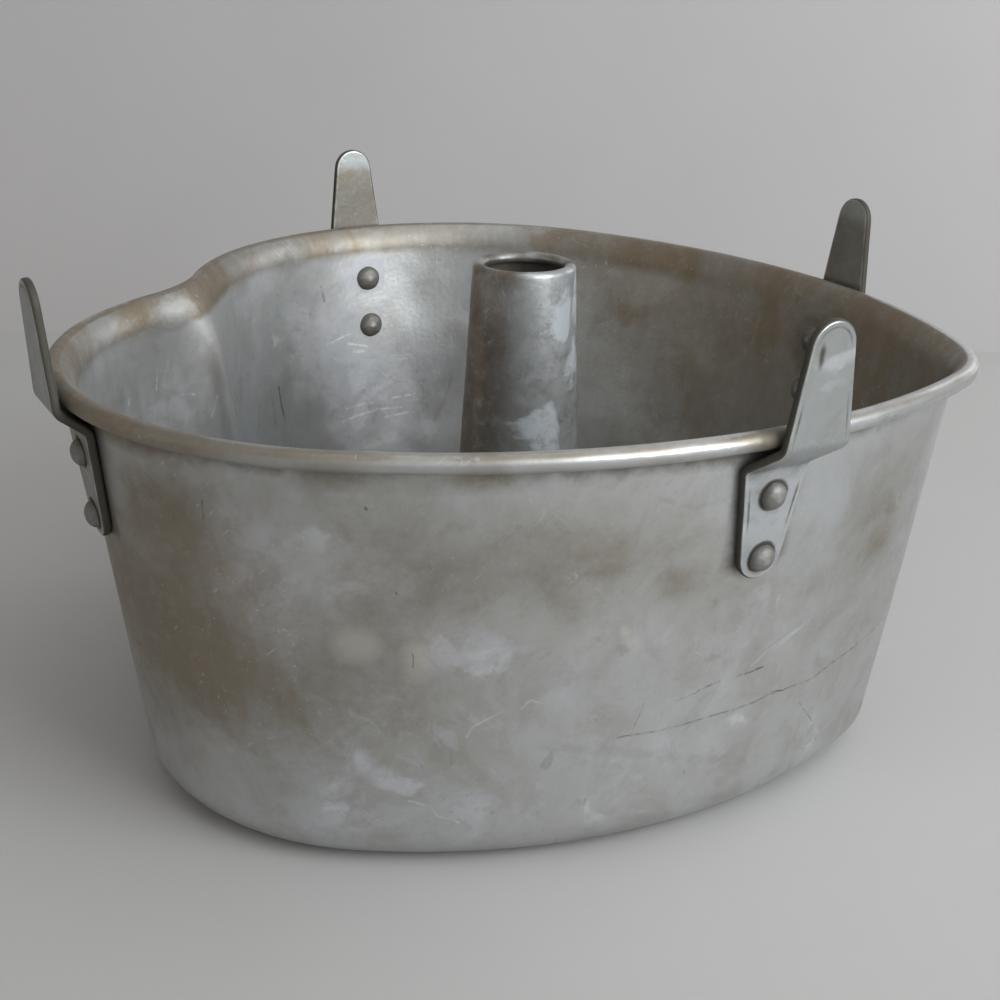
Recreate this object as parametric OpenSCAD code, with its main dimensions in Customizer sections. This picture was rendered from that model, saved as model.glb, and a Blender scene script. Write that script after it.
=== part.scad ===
// Heart-shaped angel food cake pan with a lift-out bottom and centre tube.
// X points to the tip of the heart, Y is across it, Z is up, and Z = 0 is the
// face that the pan stands on. The outline is a chain of arcs that meet
// smoothly: tip, side, lobe, cleft, and the same again on the other half.

/* [Pan body] */
// Length over the rolled rim, lobes to tip
pan_length = 216; // [204:1:232]
// Width over the rolled rim
pan_width = 229; // [221:1:240]
// Height of the rolled rim
pan_height = 107; // [90:1:122]
// Radius of each lobe, at the middle of the rim bead
lobe_r = 76.5; // [73:0.5:80]
// Radius of the tip, at the middle of the rim bead
tip_r = 36; // [34:0.5:42]
// Radius of the long sides, at the middle of the rim bead
side_r = 160; // [150:1:175]
// Radius of the cleft between the lobes
cleft_r = 50; // [35:1:65]
// Sheet thickness of the drawn body
sheet_t = 1.2; // [1:0.1:1.4]
// Lean of the wall from upright, in degrees
wall_lean = 7.25; // [5:0.25:8.5]
// Outer radius where the wall meets the bottom
corner_r = 12; // [8:0.5:14]
// Width of the flat ledge that carries the bottom plate
ledge_w = 6; // [5:0.5:7.5]

/* [Rolled rim] */
// Outer diameter of the rolled bead
bead_d = 4.4; // [3.8:0.1:5]
// Radius of the flare below the bead
flare_r = 10; // [8:0.5:12]
// How far the flare turns out, in degrees from upright
flare_turn = 45; // [35:1:50]
// Where the curl ends, in degrees round the bead from outwards
curl_end = -135; // [-140:1:-120]

/* [Bottom plate and tube] */
// Thickness of the bottom plate
plate_t = 1.5; // [1.2:0.1:2]
// Clearance between the plate's edge and the start of the corner
plate_gap = 0.6; // [0.4:0.1:1]
// Place of the tube along X
tube_x = -5; // [-15:1:10]
// Height of the top of the tube
tube_top = 121; // [100:1:135]
// Outer radius of the tube at the bottom plate
tube_foot_r = 19; // [17:0.5:24]
// Outer radius of the tube below its rolled lip
tube_top_r = 13.2; // [12:0.1:15]
// Sheet thickness of the tube
tube_t = 1.2; // [1:0.1:1.5]
// Diameter of the lip rolled into the tube
lip_d = 3; // [2.6:0.1:3.4]
// Width of the tube's flange on the plate
flange_w = 5; // [4:0.5:8]

/* [Legs] */
// Direction of the two legs on the lobes, in degrees from the tip
lobe_leg_at = 135; // [125:1:150]
// Direction of the two legs on the sides, in degrees from the tip
side_leg_at = 44.5; // [36:0.5:60]
// Thickness of the leg strip
leg_t = 2; // [1.6:0.1:2.4]
// Width of the strip at its widest, where it passes the rim
leg_w = 17.5; // [16:0.5:21]
// Radius of the tip of the tongue
tongue_tip_r = 6; // [5:0.1:7.5]
// Height of the tongue above the rim
tongue_rise = 23.5; // [16:0.5:32]
// Lean of the tongue from upright, in degrees
tongue_lean = 4; // [0:0.5:7]
// Radius of the riveted end
tang_end_r = 5.7; // [5:0.1:7.5]
// Lowest point of the riveted end, below the lower rivet
tang_below = 5.5; // [4.5:0.5:9]
// Clearance between the rim bead and the strip
rim_gap = 0.8; // [0.5:0.1:2]
// Slope of the step between riveted end and tongue, in degrees from upright
step_turn = 52; // [45:1:60]
// How far the tongue of the right side leg is bent towards the tip
bent_tongue_shift = 4.5; // [0:0.5:6]
// Inner bend radius of the strip
bend_r = 2; // [1.5:0.5:3]

/* [Rivets] */
// Diameter of the rivet shank
rivet_d = 3.2; // [2.8:0.1:4]
// Diameter of the outer rivet head
rivet_head_d = 6.4; // [5.6:0.2:7.6]
// Height of the outer rivet head
rivet_head_h = 2.4; // [1.8:0.1:2.8]
// Diameter of the inner rivet head
inner_head_d = 7.6; // [6:0.2:8.4]
// Height of the inner rivet head
inner_head_h = 2.1; // [1.5:0.1:2.5]
// Distance of the upper rivet below the top of the rim
upper_rivet_drop = 16; // [15.5:0.5:22]
// Distance between the two rivets of a leg
rivet_pitch = 15; // [11:0.5:20]
// Clearance of the shank in its holes, on the radius
rivet_clearance = 0.05; // [0.05:0.01:0.1]
// Gap between leg and wall, and between wall and inner rivet head
seat_gap = 0.1; // [0.1:0.01:0.15]

/* [Hidden] */

// Thinner stretches of the swept shell end inside the thicker ones
join_step = 0.02;
join_lap = 0.4;
shell_steps = 72;
tube_steps = 48;
rivet_steps = 18;

// Heart outline at the middle of the rim bead
half_l = (pan_length - bead_d) / 2;
half_w = (pan_width - bead_d) / 2;
lobe_c = [lobe_r - half_l, half_w - lobe_r];
tip_c = [half_l - tip_r, 0];
tip_to_lobe = norm(lobe_c - tip_c);
tip_reach = side_r - tip_r;
lobe_reach = side_r - lobe_r;
lobe_slope = atan2(lobe_c[1], lobe_c[0] - tip_c[0]);
tip_corner = acos((tip_reach * tip_reach + tip_to_lobe * tip_to_lobe - lobe_reach * lobe_reach)
  / (2 * tip_reach * tip_to_lobe));
tip_turn = lobe_slope + tip_corner - 180;
side_c = tip_c - tip_reach * [cos(tip_turn), sin(tip_turn)];
lobe_turn = atan2(lobe_c[1] - side_c[1], lobe_c[0] - side_c[0]);
cleft_turn = 180 + asin(lobe_c[1] / (lobe_r + cleft_r));
cleft_c = [lobe_c[0] + (lobe_r + cleft_r) * cos(cleft_turn), 0];

// Middle line of the sheet, as places outward of the rim bead and heights
curl_r = (bead_d - sheet_t) / 2;
bead_z = pan_height - bead_d / 2;
flare_top = [-curl_r * cos(flare_turn), bead_z + curl_r * sin(flare_turn)];
flare_c = flare_top + flare_r * [cos(flare_turn), -sin(flare_turn)];
wall_top = flare_c + flare_r * [-cos(wall_lean), sin(wall_lean)];
foot_r = corner_r - sheet_t / 2;
wall_foot_z = sheet_t / 2 + foot_r * (1 - sin(wall_lean));
wall_foot = [wall_top[0] - (wall_top[1] - wall_foot_z) * tan(wall_lean), wall_foot_z];
foot_c = wall_foot - foot_r * [cos(wall_lean), -sin(wall_lean)];

// Bottom plate and tube
plate_z = sheet_t;
plate_inset = -foot_c[0] + plate_gap;
plate_top = plate_z + plate_t;
tube_half = tube_t / 2;
lip_r = (lip_d - tube_t) / 2;
lip_z = tube_top - lip_d / 2;
tube_foot_bend = 3;

// Legs: places are measured outward of the rim bead
function wall_face(z) = wall_top[0] + sheet_t / 2 / cos(wall_lean) - (wall_top[1] - z) * tan(wall_lean);
upper_rivet_z = pan_height - upper_rivet_drop;
lower_rivet_z = upper_rivet_z - rivet_pitch;
tang_foot_z = lower_rivet_z - tang_below;
tongue_tip_z = pan_height + tongue_rise;
leg_mid = leg_t / 2;
leg_bend_r = bend_r + leg_mid;
tang_line_gap = (seat_gap + leg_mid) / cos(wall_lean);
function tang_at(z) = [wall_face(z) + tang_line_gap, z];

// The step and the tongue both clear the bead, so their middle lines touch a circle round it
clear_r = bead_d / 2 + rim_gap + leg_mid;
half_turn = (step_turn - tongue_lean) / 2;
mean_turn = (step_turn + tongue_lean) / 2;
step_top = [0, bead_z] + clear_r / cos(half_turn) * [cos(mean_turn), -sin(mean_turn)];
step_foot_z = (step_top[0] - step_top[1] * tan(step_turn) - tang_at(0)[0])
  / (tan(wall_lean) - tan(step_turn));
foot_reach = leg_bend_r * tan((step_turn - wall_lean) / 2);
top_reach = leg_bend_r * tan(half_turn);
function tongue_at(z) = [step_top[0] + (z - step_top[1]) * tan(tongue_lean), z];

assert(upper_rivet_z + rivet_head_d / 2 < step_foot_z - foot_reach, "the upper rivet runs into the bend");
assert(tongue_tip_z > pan_height + tongue_tip_r, "the tongue is too short for its tip");
assert(foot_reach + top_reach < norm(step_top - tang_at(step_foot_z)), "the step is too short for its bends");

// A path is a list of [place, direction of its outer side]
function turn(centre, r, a0, a1, steps, outside) = [
  for (i = [0 : steps])
    let (a = a0 + (a1 - a0) * i / steps)
    [centre + r * [cos(a), sin(a)], outside ? a : a + 180]
];
function beside(path, shift) = [for (p = path) p[0] + shift * [cos(p[1]), sin(p[1])]];
function backwards(points) = [for (i = [len(points) - 1 : -1 : 0]) points[i]];
function strip(path, half) = concat(beside(path, half), backwards(beside(path, -half)));

// Cross-section of the body: ledge, corner, wall, flare and curl
body_path = concat(
  [[[foot_c[0] - ledge_w, sheet_t / 2], -90]],
  turn(foot_c, foot_r, -90, -wall_lean, 5, true),
  turn(flare_c, flare_r, 180 - wall_lean, 180 - flare_turn, 4, false),
  turn([0, bead_z], curl_r, 160 - flare_turn, curl_end, 9, false)
);

// Cross-section of the tube: flange, bend, wall and lip
tube_lean = atan((tube_foot_r - tube_top_r) / (lip_z - plate_top));
tube_wall_top = [tube_top_r - tube_half / cos(tube_lean), lip_z];
tube_bend_c = [
  tube_foot_r - tube_half / cos(tube_lean) + tube_foot_bend * cos(tube_lean)
    - (tube_half + tube_foot_bend * (1 - sin(tube_lean))) * tan(tube_lean),
  plate_top + tube_half + tube_foot_bend
];
lip_c = tube_wall_top - lip_r * [cos(tube_lean), sin(tube_lean)];
tube_path = concat(
  [[[tube_bend_c[0] + flange_w, plate_top + tube_half], -90]],
  turn(tube_bend_c, tube_foot_bend, -90, -180 + tube_lean, 4, true),
  turn(lip_c, lip_r, tube_lean, 225, 8, false)
);

// Middle line of a leg strip, from its riveted end to the tip of its tongue
foot_bend_start = tang_at(step_foot_z) - foot_reach * [sin(wall_lean), cos(wall_lean)];
top_bend_end = step_top + top_reach * [sin(tongue_lean), cos(tongue_lean)];
leg_path = concat(
  [[tang_at(tang_foot_z - 1), -wall_lean]],
  turn(foot_bend_start + leg_bend_r * [cos(wall_lean), -sin(wall_lean)], leg_bend_r,
    180 - wall_lean, 180 - step_turn, 3, false),
  turn(top_bend_end - leg_bend_r * [cos(tongue_lean), -sin(tongue_lean)], leg_bend_r,
    -step_turn, -tongue_lean, 3, true),
  [[tongue_at(tongue_tip_z + 1), -tongue_lean]]
);

function corner(centre, r, a0, a1, steps) = [
  for (i = [0 : steps])
    let (a = a0 + (a1 - a0) * i / steps)
    centre + r * [cos(a), sin(a)]
];

// Outline of a leg seen from outside: it tapers from the step to both round ends
tip_mid_z = tongue_tip_z - tongue_tip_r;
end_mid_z = tang_foot_z + tang_end_r;
function touch(across, up, r) = atan2(up, across) + sign(-up) * acos(r / norm([across, up]));
tip_side = touch(leg_w / 2, step_top[1] - tip_mid_z, tongue_tip_r);
end_side = touch(leg_w / 2, step_foot_z - end_mid_z, tang_end_r);
function leg_outline(shift) = concat(
  corner([0, end_mid_z], tang_end_r, -180 - end_side, end_side, 8),
  [[leg_w / 2, step_foot_z], [leg_w / 2 + shift, step_top[1]]],
  corner([shift, tip_mid_z], tongue_tip_r, tip_side, 180 - tip_side, 8),
  [[shift - leg_w / 2, step_top[1]], [-leg_w / 2, step_foot_z]]
);

// Half of the heart, moved in by inset, from the tip to the cleft
function half_heart(inset) = concat(
  corner(tip_c, tip_r - inset, 0, tip_turn, 4),
  corner(side_c, side_r - inset, tip_turn + 4, lobe_turn - 4, 12),
  corner(lobe_c, lobe_r - inset, lobe_turn, cleft_turn, 22),
  [for (i = [1 : 3]) cleft_c + (cleft_r + inset) * [cos((1 - i / 3) * (cleft_turn - 180)),
    sin((1 - i / 3) * (cleft_turn - 180))]]
);
function flip(points) = [for (p = backwards(points)) [p[0], -p[1]]];
function inner_points(points) = [for (i = [1 : len(points) - 2]) points[i]];
function heart(inset) = concat(half_heart(inset), inner_points(flip(half_heart(inset))));

// Moves to a leg's place: X then points out of the pan
module at_leg(centre, r, direction, side) {
  translate([centre[0] + r * cos(direction), side * (centre[1] + r * sin(direction)), 0])
    rotate([0, 0, side * direction])
    children();
}

module at_lobe_leg(side) {
  at_leg(lobe_c, lobe_r, lobe_leg_at, side) children();
}

module at_side_leg(side) {
  at_leg(side_c, side_r, side_leg_at, side) children();
}

// Moves to a rivet on a leg: Z then points out of the wall, from its outer face
module at_rivet(z) {
  translate([wall_face(z), 0, z])
    rotate([0, 90 + wall_lean, 0])
    children();
}

// One stretch of the body round an arc of the outline
module stretch(centre, r, a0, a1, half) {
  translate([centre[0], centre[1], 0])
    rotate_extrude(angle = a1 - a0, start = a0, $fn = shell_steps)
    translate([r, 0])
    polygon(strip(body_path, half));
}

module half_body() {
  stretch(side_c, side_r, tip_turn, lobe_turn, sheet_t / 2);
  stretch(lobe_c, lobe_r, lobe_turn - join_lap, cleft_turn + join_lap, sheet_t / 2 - join_step);
}

module cleft_body() {
  translate([cleft_c[0], 0, 0])
    rotate_extrude(angle = 2 * (cleft_turn - 180), start = 180 - cleft_turn, $fn = shell_steps)
    translate([cleft_r, 0])
    mirror([1, 0])
    polygon(strip(body_path, sheet_t / 2));
}

module rivet_hole(z) {
  at_rivet(z)
    translate([0, 0, -3 * sheet_t])
    cylinder(h = 6 * sheet_t, r = rivet_d / 2 + rivet_clearance, $fn = rivet_steps);
}

module rivet_holes() {
  rivet_hole(upper_rivet_z);
  rivet_hole(lower_rivet_z);
}

module pan_shell() {
  color([0.62, 0.61, 0.58])
    difference() {
      union() {
        stretch(tip_c, tip_r, -tip_turn - join_lap, tip_turn + join_lap, sheet_t / 2 - join_step);
        half_body();
        mirror([0, 1, 0]) half_body();
        cleft_body();
      }
      for (side = [-1, 1]) {
        at_lobe_leg(side) rivet_holes();
        at_side_leg(side) rivet_holes();
      }
    }
}

// The plate lies on the ledge, and its hole continues the tube's bore
module base_plate() {
  color([0.6, 0.6, 0.58])
    difference() {
      translate([0, 0, plate_z])
        linear_extrude(plate_t)
        polygon(heart(plate_inset));
      translate([tube_x, 0, 0])
        cylinder(h = 4 * plate_top, r = tube_foot_r - tube_t, center = true, $fn = tube_steps);
    }
}

module centre_tube() {
  color([0.58, 0.57, 0.55])
    translate([tube_x, 0, 0])
    rotate_extrude($fn = tube_steps)
    polygon(strip(tube_path, tube_half));
}

// A flat strip bent out past the rim and cut to its outline
module leg(shift) {
  color([0.7, 0.7, 0.69])
    difference() {
      intersection() {
        rotate([90, 0, 0])
          linear_extrude(3 * leg_w, center = true)
          polygon(strip(leg_path, leg_mid));
        rotate([90, 0, 90])
          linear_extrude(100, center = true)
          polygon(leg_outline(shift));
      }
      for (z = [upper_rivet_z, lower_rivet_z]) {
        at_rivet(z)
          cylinder(h = 3 * leg_t, r = rivet_d / 2 + rivet_clearance, center = true, $fn = rivet_steps);
      }
    }
}

// A rivet with a small domed head on the leg and a wider, lower one inside the pan
module rivet(z) {
  inner_z = -sheet_t - seat_gap;
  inner_r = inner_head_d / 2;
  outer_z = seat_gap + leg_t;
  outer_r = rivet_head_d / 2;
  color([0.52, 0.51, 0.5])
    at_rivet(z)
    rotate_extrude($fn = rivet_steps)
    polygon(concat(
      [for (a = [0 : 22.5 : 90]) [inner_r * sin(a), inner_z - inner_head_h * cos(a)]],
      [[rivet_d / 2, inner_z], [rivet_d / 2, outer_z]],
      [for (a = [90 : -22.5 : 0]) [outer_r * sin(a), outer_z + rivet_head_h * cos(a)]]
    ));
}

pan_shell();
base_plate();
centre_tube();
at_lobe_leg(1) leg(0);  // leg_lobe_left
at_lobe_leg(-1) leg(0);  // leg_lobe_right
at_side_leg(1) leg(0);  // leg_side_left
at_side_leg(-1) leg(bent_tongue_shift);  // leg_side_right
at_lobe_leg(1) rivet(upper_rivet_z);  // rivet_lobe_left_upper
at_lobe_leg(1) rivet(lower_rivet_z);  // rivet_lobe_left_lower
at_lobe_leg(-1) rivet(upper_rivet_z);  // rivet_lobe_right_upper
at_lobe_leg(-1) rivet(lower_rivet_z);  // rivet_lobe_right_lower
at_side_leg(1) rivet(upper_rivet_z);  // rivet_side_left_upper
at_side_leg(1) rivet(lower_rivet_z);  // rivet_side_left_lower
at_side_leg(-1) rivet(upper_rivet_z);  // rivet_side_right_upper
at_side_leg(-1) rivet(lower_rivet_z);  // rivet_side_right_lower
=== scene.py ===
"""Look of a heart-shaped angel food cake pan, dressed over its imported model.

Every length is in metres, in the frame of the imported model: +X points to the tip of the
heart, +Y across it and +Z up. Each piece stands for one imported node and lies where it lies.
"""
import logging
from dataclasses import dataclass, field
from enum import Enum, IntEnum
from math import acos, asin, atan2, cos, hypot, pi, radians, sin, tan

import bpy
import numpy as np
from mathutils import Matrix


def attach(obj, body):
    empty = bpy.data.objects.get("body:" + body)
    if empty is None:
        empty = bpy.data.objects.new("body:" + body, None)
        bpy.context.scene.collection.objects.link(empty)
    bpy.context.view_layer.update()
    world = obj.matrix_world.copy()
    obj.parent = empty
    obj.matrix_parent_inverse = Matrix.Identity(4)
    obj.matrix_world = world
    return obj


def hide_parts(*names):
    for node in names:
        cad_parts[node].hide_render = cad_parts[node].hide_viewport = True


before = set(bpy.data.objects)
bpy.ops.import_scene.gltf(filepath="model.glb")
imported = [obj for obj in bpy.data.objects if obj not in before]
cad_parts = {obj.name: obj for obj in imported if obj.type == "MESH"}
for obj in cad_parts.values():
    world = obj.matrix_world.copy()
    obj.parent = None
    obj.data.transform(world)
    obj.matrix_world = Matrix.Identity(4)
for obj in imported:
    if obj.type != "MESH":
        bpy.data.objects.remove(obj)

LOG = logging.getLogger("pan")
MM = 0.001
Material = bpy.types.Material
Tree = bpy.types.NodeTree
Thing = bpy.types.Object
Masks = dict[str, np.ndarray]
Spot = tuple[float, float, float]
Points = tuple[tuple[float, float], ...]
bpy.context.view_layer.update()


# Meshes from grids of points

@dataclass
class Surface:
    """A closed skin: its points, its faces of four and of three, and masks that its material reads."""

    points: np.ndarray
    quads: np.ndarray
    triangles: np.ndarray
    masks: Masks = field(default_factory=dict)

    def volume(self) -> float:
        """Signed volume: the sum over triangles of a . (b x c) / 6, positive where faces point out."""
        q = self.quads
        tri = np.vstack([q[:, [0, 1, 2]], q[:, [0, 2, 3]], self.triangles])
        a, b, c = (self.points[tri[:, k]] for k in range(3))
        return float(np.einsum("ij,ij->i", a, np.cross(b, c)).sum() / 6)

    def outward(self) -> "Surface":
        """Turns every face round if the skin is inside out."""
        if self.volume() < 0:
            self.quads = self.quads[:, ::-1]
            self.triangles = self.triangles[:, ::-1]
        return self

    def welded(self) -> "Surface":
        """Joins points closer than a micrometre and drops the faces that this closes up."""
        keys = np.round(self.points / 1e-6).astype(np.int64)
        _, first, back = np.unique(keys, axis=0, return_index=True, return_inverse=True)
        back = back.reshape(-1)
        quads, tris = back[self.quads], back[self.triangles]
        same = quads == np.roll(quads, -1, axis=1)
        flat = same.sum(axis=1)
        one = quads[flat == 1]
        keep = ~same[flat == 1]
        three = one[keep].reshape(-1, 3)
        masks = {name: value[first] for name, value in self.masks.items()}
        return Surface(self.points[first], quads[flat == 0], np.vstack([tris, three]), masks)


def grid_surface(points: np.ndarray, loop_rows: bool, masks: Masks | None = None) -> Surface:
    """Joins a grid of points into faces; columns always close on themselves.

    Face (i, j) joins points (i, j), (i+1, j), (i+1, j+1) and (i, j+1), with indices taken round
    the loop where the grid closes.

    Args:
        points: Array of rows x columns x 3.
        loop_rows: Whether the last row joins the first one.
        masks: Values for each point, as arrays of rows x columns.

    Returns:
        The surface, with its faces turned outwards.
    """
    rows, columns = points.shape[:2]
    index = np.arange(rows * columns).reshape(rows, columns)
    across = np.roll(index, -1, axis=1)
    if loop_rows:
        down, both = np.roll(index, -1, axis=0), np.roll(across, -1, axis=0)
    else:
        index, across, down, both = index[:-1], across[:-1], index[1:], across[1:]
    quads = np.stack([index, down, both, across], axis=-1).reshape(-1, 4)
    flat = {name: value.reshape(-1) for name, value in (masks or {}).items()}
    return Surface(points.reshape(-1, 3), quads, np.empty((0, 3), int), flat).welded().outward()


def in_scene(name: str, data: bpy.types.ID) -> Thing:
    """Makes an object of a mesh, lamp or camera and links it to the scene."""
    thing = bpy.data.objects.new(name, data)
    bpy.context.scene.collection.objects.link(thing)
    return thing


def make_piece(name: str, surface: Surface, material: Material) -> Thing:
    """Makes a smooth-shaded object at the origin out of a surface.

    Args:
        name: Name of the piece.
        surface: Its points, faces and masks.
        material: Its finish.

    Returns:
        The object, linked to the scene.
    """
    mesh = bpy.data.meshes.new(name)
    mesh.from_pydata(surface.points.tolist(), [], surface.quads.tolist() + surface.triangles.tolist())
    for mask, value in surface.masks.items():
        mesh.attributes.new(mask, "FLOAT", "POINT").data.foreach_set("value", value.astype(np.float32))
    mesh.polygons.foreach_set("use_smooth", np.ones(len(mesh.polygons), bool))
    mesh.materials.append(material)
    mesh.validate()
    mesh.update()
    LOG.info("%s: %d points, %d faces", name, len(mesh.vertices), len(mesh.polygons))
    return in_scene(name, mesh)


def flag(where: np.ndarray) -> np.ndarray:
    """1 where a condition holds and 0 elsewhere."""
    return np.where(where, 1.0, 0.0)


def hump(value: np.ndarray, reach: float) -> np.ndarray:
    """Falls to both sides from 1 where the value is 0, along exp(-(value / reach)^2)."""
    return np.exp(-((value / reach) ** 2))


def smooth_step(value: np.ndarray, low: float, high: float) -> np.ndarray:
    """Rises from 0 at low to 1 at high along 3t^2 - 2t^3; falls where high is below low."""
    t = np.clip((value - low) / (high - low), 0, 1)
    return t * t * (3 - 2 * t)


# Lines of bent sheet metal: rows of place x, place y, direction x, direction y

def bend(centre: tuple[float, float], radius: float, start: float, end: float, steps: int) -> np.ndarray:
    """Arc of a bent sheet: centre + radius (cos a, sin a) for a from start to end, in degrees.

    Args:
        centre: Middle of the arc.
        radius: Its radius.
        start: First angle.
        end: Last angle; below start the arc runs clockwise.
        steps: Number of stretches.

    Returns:
        Rows of place and direction of travel.
    """
    a = np.radians(np.linspace(start, end, steps + 1))
    way = 1.0 if end > start else -1.0
    x, y = np.cos(a), np.sin(a)
    return np.c_[centre[0] + radius * x, centre[1] + radius * y, -way * y, way * x]


def straight(start: np.ndarray, end: np.ndarray, steps: int) -> np.ndarray:
    """Points evenly spaced between start and end, without both ends, with their direction."""
    t = np.linspace(0, 1, steps + 1)[1:-1, None]
    way = (end[:2] - start[:2]) / np.hypot(*(end[:2] - start[:2]))
    return np.hstack([start[:2] * (1 - t) + end[:2] * t, np.repeat(way[None], len(t), axis=0)])


def sheet_section(line: np.ndarray, half: float, cap_steps: int = 6) -> np.ndarray:
    """Closed outline of a sheet round its middle line: the line moved half to either side.

    The ends are half circles: end + half (cos a, sin a) over half a turn.

    Args:
        line: Rows of place and direction.
        half: Half of the sheet's thickness.
        cap_steps: Stretches in each round end.

    Returns:
        Rows of x, y and side: side runs from 1 on the right of the line to -1 on its left.
    """
    place, way = line[:, :2], line[:, 2:]
    right = np.c_[way[:, 1], -way[:, 0]]
    turn = np.linspace(0, pi, cap_steps + 1)[1:-1, None]
    ahead = place[-1] + half * (np.cos(turn) * right[-1] + np.sin(turn) * way[-1])
    behind = place[0] - half * (np.cos(turn) * right[0] + np.sin(turn) * way[0])
    points = np.vstack([place + half * right, ahead, (place - half * right)[::-1], behind])
    side = np.r_[np.ones(len(line)), np.cos(turn[:, 0]), -np.ones(len(line)), -np.cos(turn[:, 0])]
    return np.c_[points, side]


def up_along(lean: float) -> np.ndarray:
    """Direction up a sheet that leans outward, as outward place and height."""
    return np.array([sin(lean), cos(lean)])


def square_to(lean: float) -> np.ndarray:
    """Direction square out of a sheet that leans outward."""
    return np.array([cos(lean), -sin(lean)])


# The heart

@dataclass(frozen=True)
class HeartOutline:
    """Plan of the rim's bead: arcs of tip, side, lobe and cleft, mirrored across the XZ plane."""

    length: float = 216 * MM
    width: float = 229 * MM
    lobe_r: float = 76.5 * MM
    tip_r: float = 36 * MM
    side_r: float = 160 * MM
    cleft_r: float = 50 * MM
    bead_d: float = 4.4 * MM
    crowding: float = 0.42

    def arcs(self) -> np.ndarray:
        """Rows of centre x, centre y, bulge times radius, first and last heading, for the left half."""
        half_l, half_w = (self.length - self.bead_d) / 2, (self.width - self.bead_d) / 2
        lobe = np.array([self.lobe_r - half_l, half_w - self.lobe_r])
        tip = np.array([half_l - self.tip_r, 0.0])
        apart, a, b = hypot(*(lobe - tip)), self.side_r - self.tip_r, self.side_r - self.lobe_r
        slope = atan2(lobe[1], lobe[0] - tip[0])
        tip_turn = slope + acos((a * a + apart * apart - b * b) / (2 * a * apart)) - pi
        side = tip - a * np.array([cos(tip_turn), sin(tip_turn)])
        lobe_turn = atan2(lobe[1] - side[1], lobe[0] - side[0])
        cleft_turn = pi + asin(lobe[1] / (self.lobe_r + self.cleft_r))
        cleft_x = lobe[0] + (self.lobe_r + self.cleft_r) * cos(cleft_turn)
        return np.array([
            [tip[0], tip[1], self.tip_r, 0, tip_turn],
            [side[0], side[1], self.side_r, tip_turn, lobe_turn],
            [lobe[0], lobe[1], self.lobe_r, lobe_turn, cleft_turn],
            [cleft_x, 0, -self.cleft_r, cleft_turn, pi],
        ])

    def walk(self, count: int) -> tuple[np.ndarray, np.ndarray, np.ndarray]:
        """Steps round the heart, closest at the cleft: place = centre + radius * direction(heading).

        The share of the way is t + b / (2 pi) sin(2 pi t), so the steps shrink by 1 - b at the cleft.

        Args:
            count: Number of steps, an even number.

        Returns:
            Places and outward directions as rows of x and y, and the distance run so far.
        """
        arcs = self.arcs()
        lengths = np.abs(arcs[:, 2] * (arcs[:, 4] - arcs[:, 3]))
        ends = np.r_[0, np.cumsum(lengths)]
        t = np.arange(count) / count
        t = t + self.crowding / (2 * pi) * np.sin(2 * pi * t)
        left = t <= 0.5
        run = np.where(left, 2 * t, 2 - 2 * t) * ends[-1]
        arc = np.clip(np.searchsorted(ends, run, side="right") - 1, 0, 3)
        part = (run - ends[arc]) / lengths[arc]
        heading = arcs[arc, 3] + part * (arcs[arc, 4] - arcs[arc, 3])
        mirror = np.where(left, 1.0, -1.0)
        way = np.c_[np.cos(heading), np.sin(heading)]
        place = arcs[arc, :2] + arcs[arc, 2][:, None] * way
        place[:, 1] *= mirror
        way[:, 1] *= mirror
        return place, way, t * 2 * ends[-1]

    def length_round(self) -> float:
        """Length of the whole outline: twice the sum of radius times turn."""
        arcs = self.arcs()
        return float(2 * np.abs(arcs[:, 2] * (arcs[:, 4] - arcs[:, 3])).sum())

    def cleft_x(self, y: np.ndarray, inset: np.ndarray, radius: np.ndarray) -> np.ndarray:
        """Where the outline, moved in by inset, lies along X near the cleft.

        Beyond the join it is the lobe's circle, x = lobe - sqrt(R^2 - (|y| - lobe y)^2), and inside it
        the cleft's circle that touches both lobes, x = middle + sqrt(r^2 - y^2).

        Args:
            y: Place across the heart.
            inset: How far the outline is moved in.
            radius: Radius of the cleft's circle.

        Returns:
            Place along the heart.
        """
        _, _, (lobe_x, lobe_y, _, _, _), _ = self.arcs()
        lobe_r = self.lobe_r - inset
        turn = np.arcsin(lobe_y / (lobe_r + radius))
        far = lobe_x - np.sqrt(np.clip(lobe_r ** 2 - (np.abs(y) - lobe_y) ** 2, 0, None))
        near = lobe_x - (lobe_r + radius) * np.cos(turn) + np.sqrt(np.clip(radius ** 2 - y ** 2, 0, None))
        return np.where(np.abs(y) < radius * np.sin(turn), near, far)

    def carry(self, section: np.ndarray, count: int) -> np.ndarray:
        """Carries a section round the heart: (place + n * direction, z) for each of its points n, z."""
        place, way, _ = self.walk(count)
        xy = place[:, None, :] + section[None, :, :1] * way[:, None, :]
        z = np.broadcast_to(section[None, :, 1:2], (count, len(section), 1))
        return np.concatenate([xy, z], axis=2)


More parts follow.
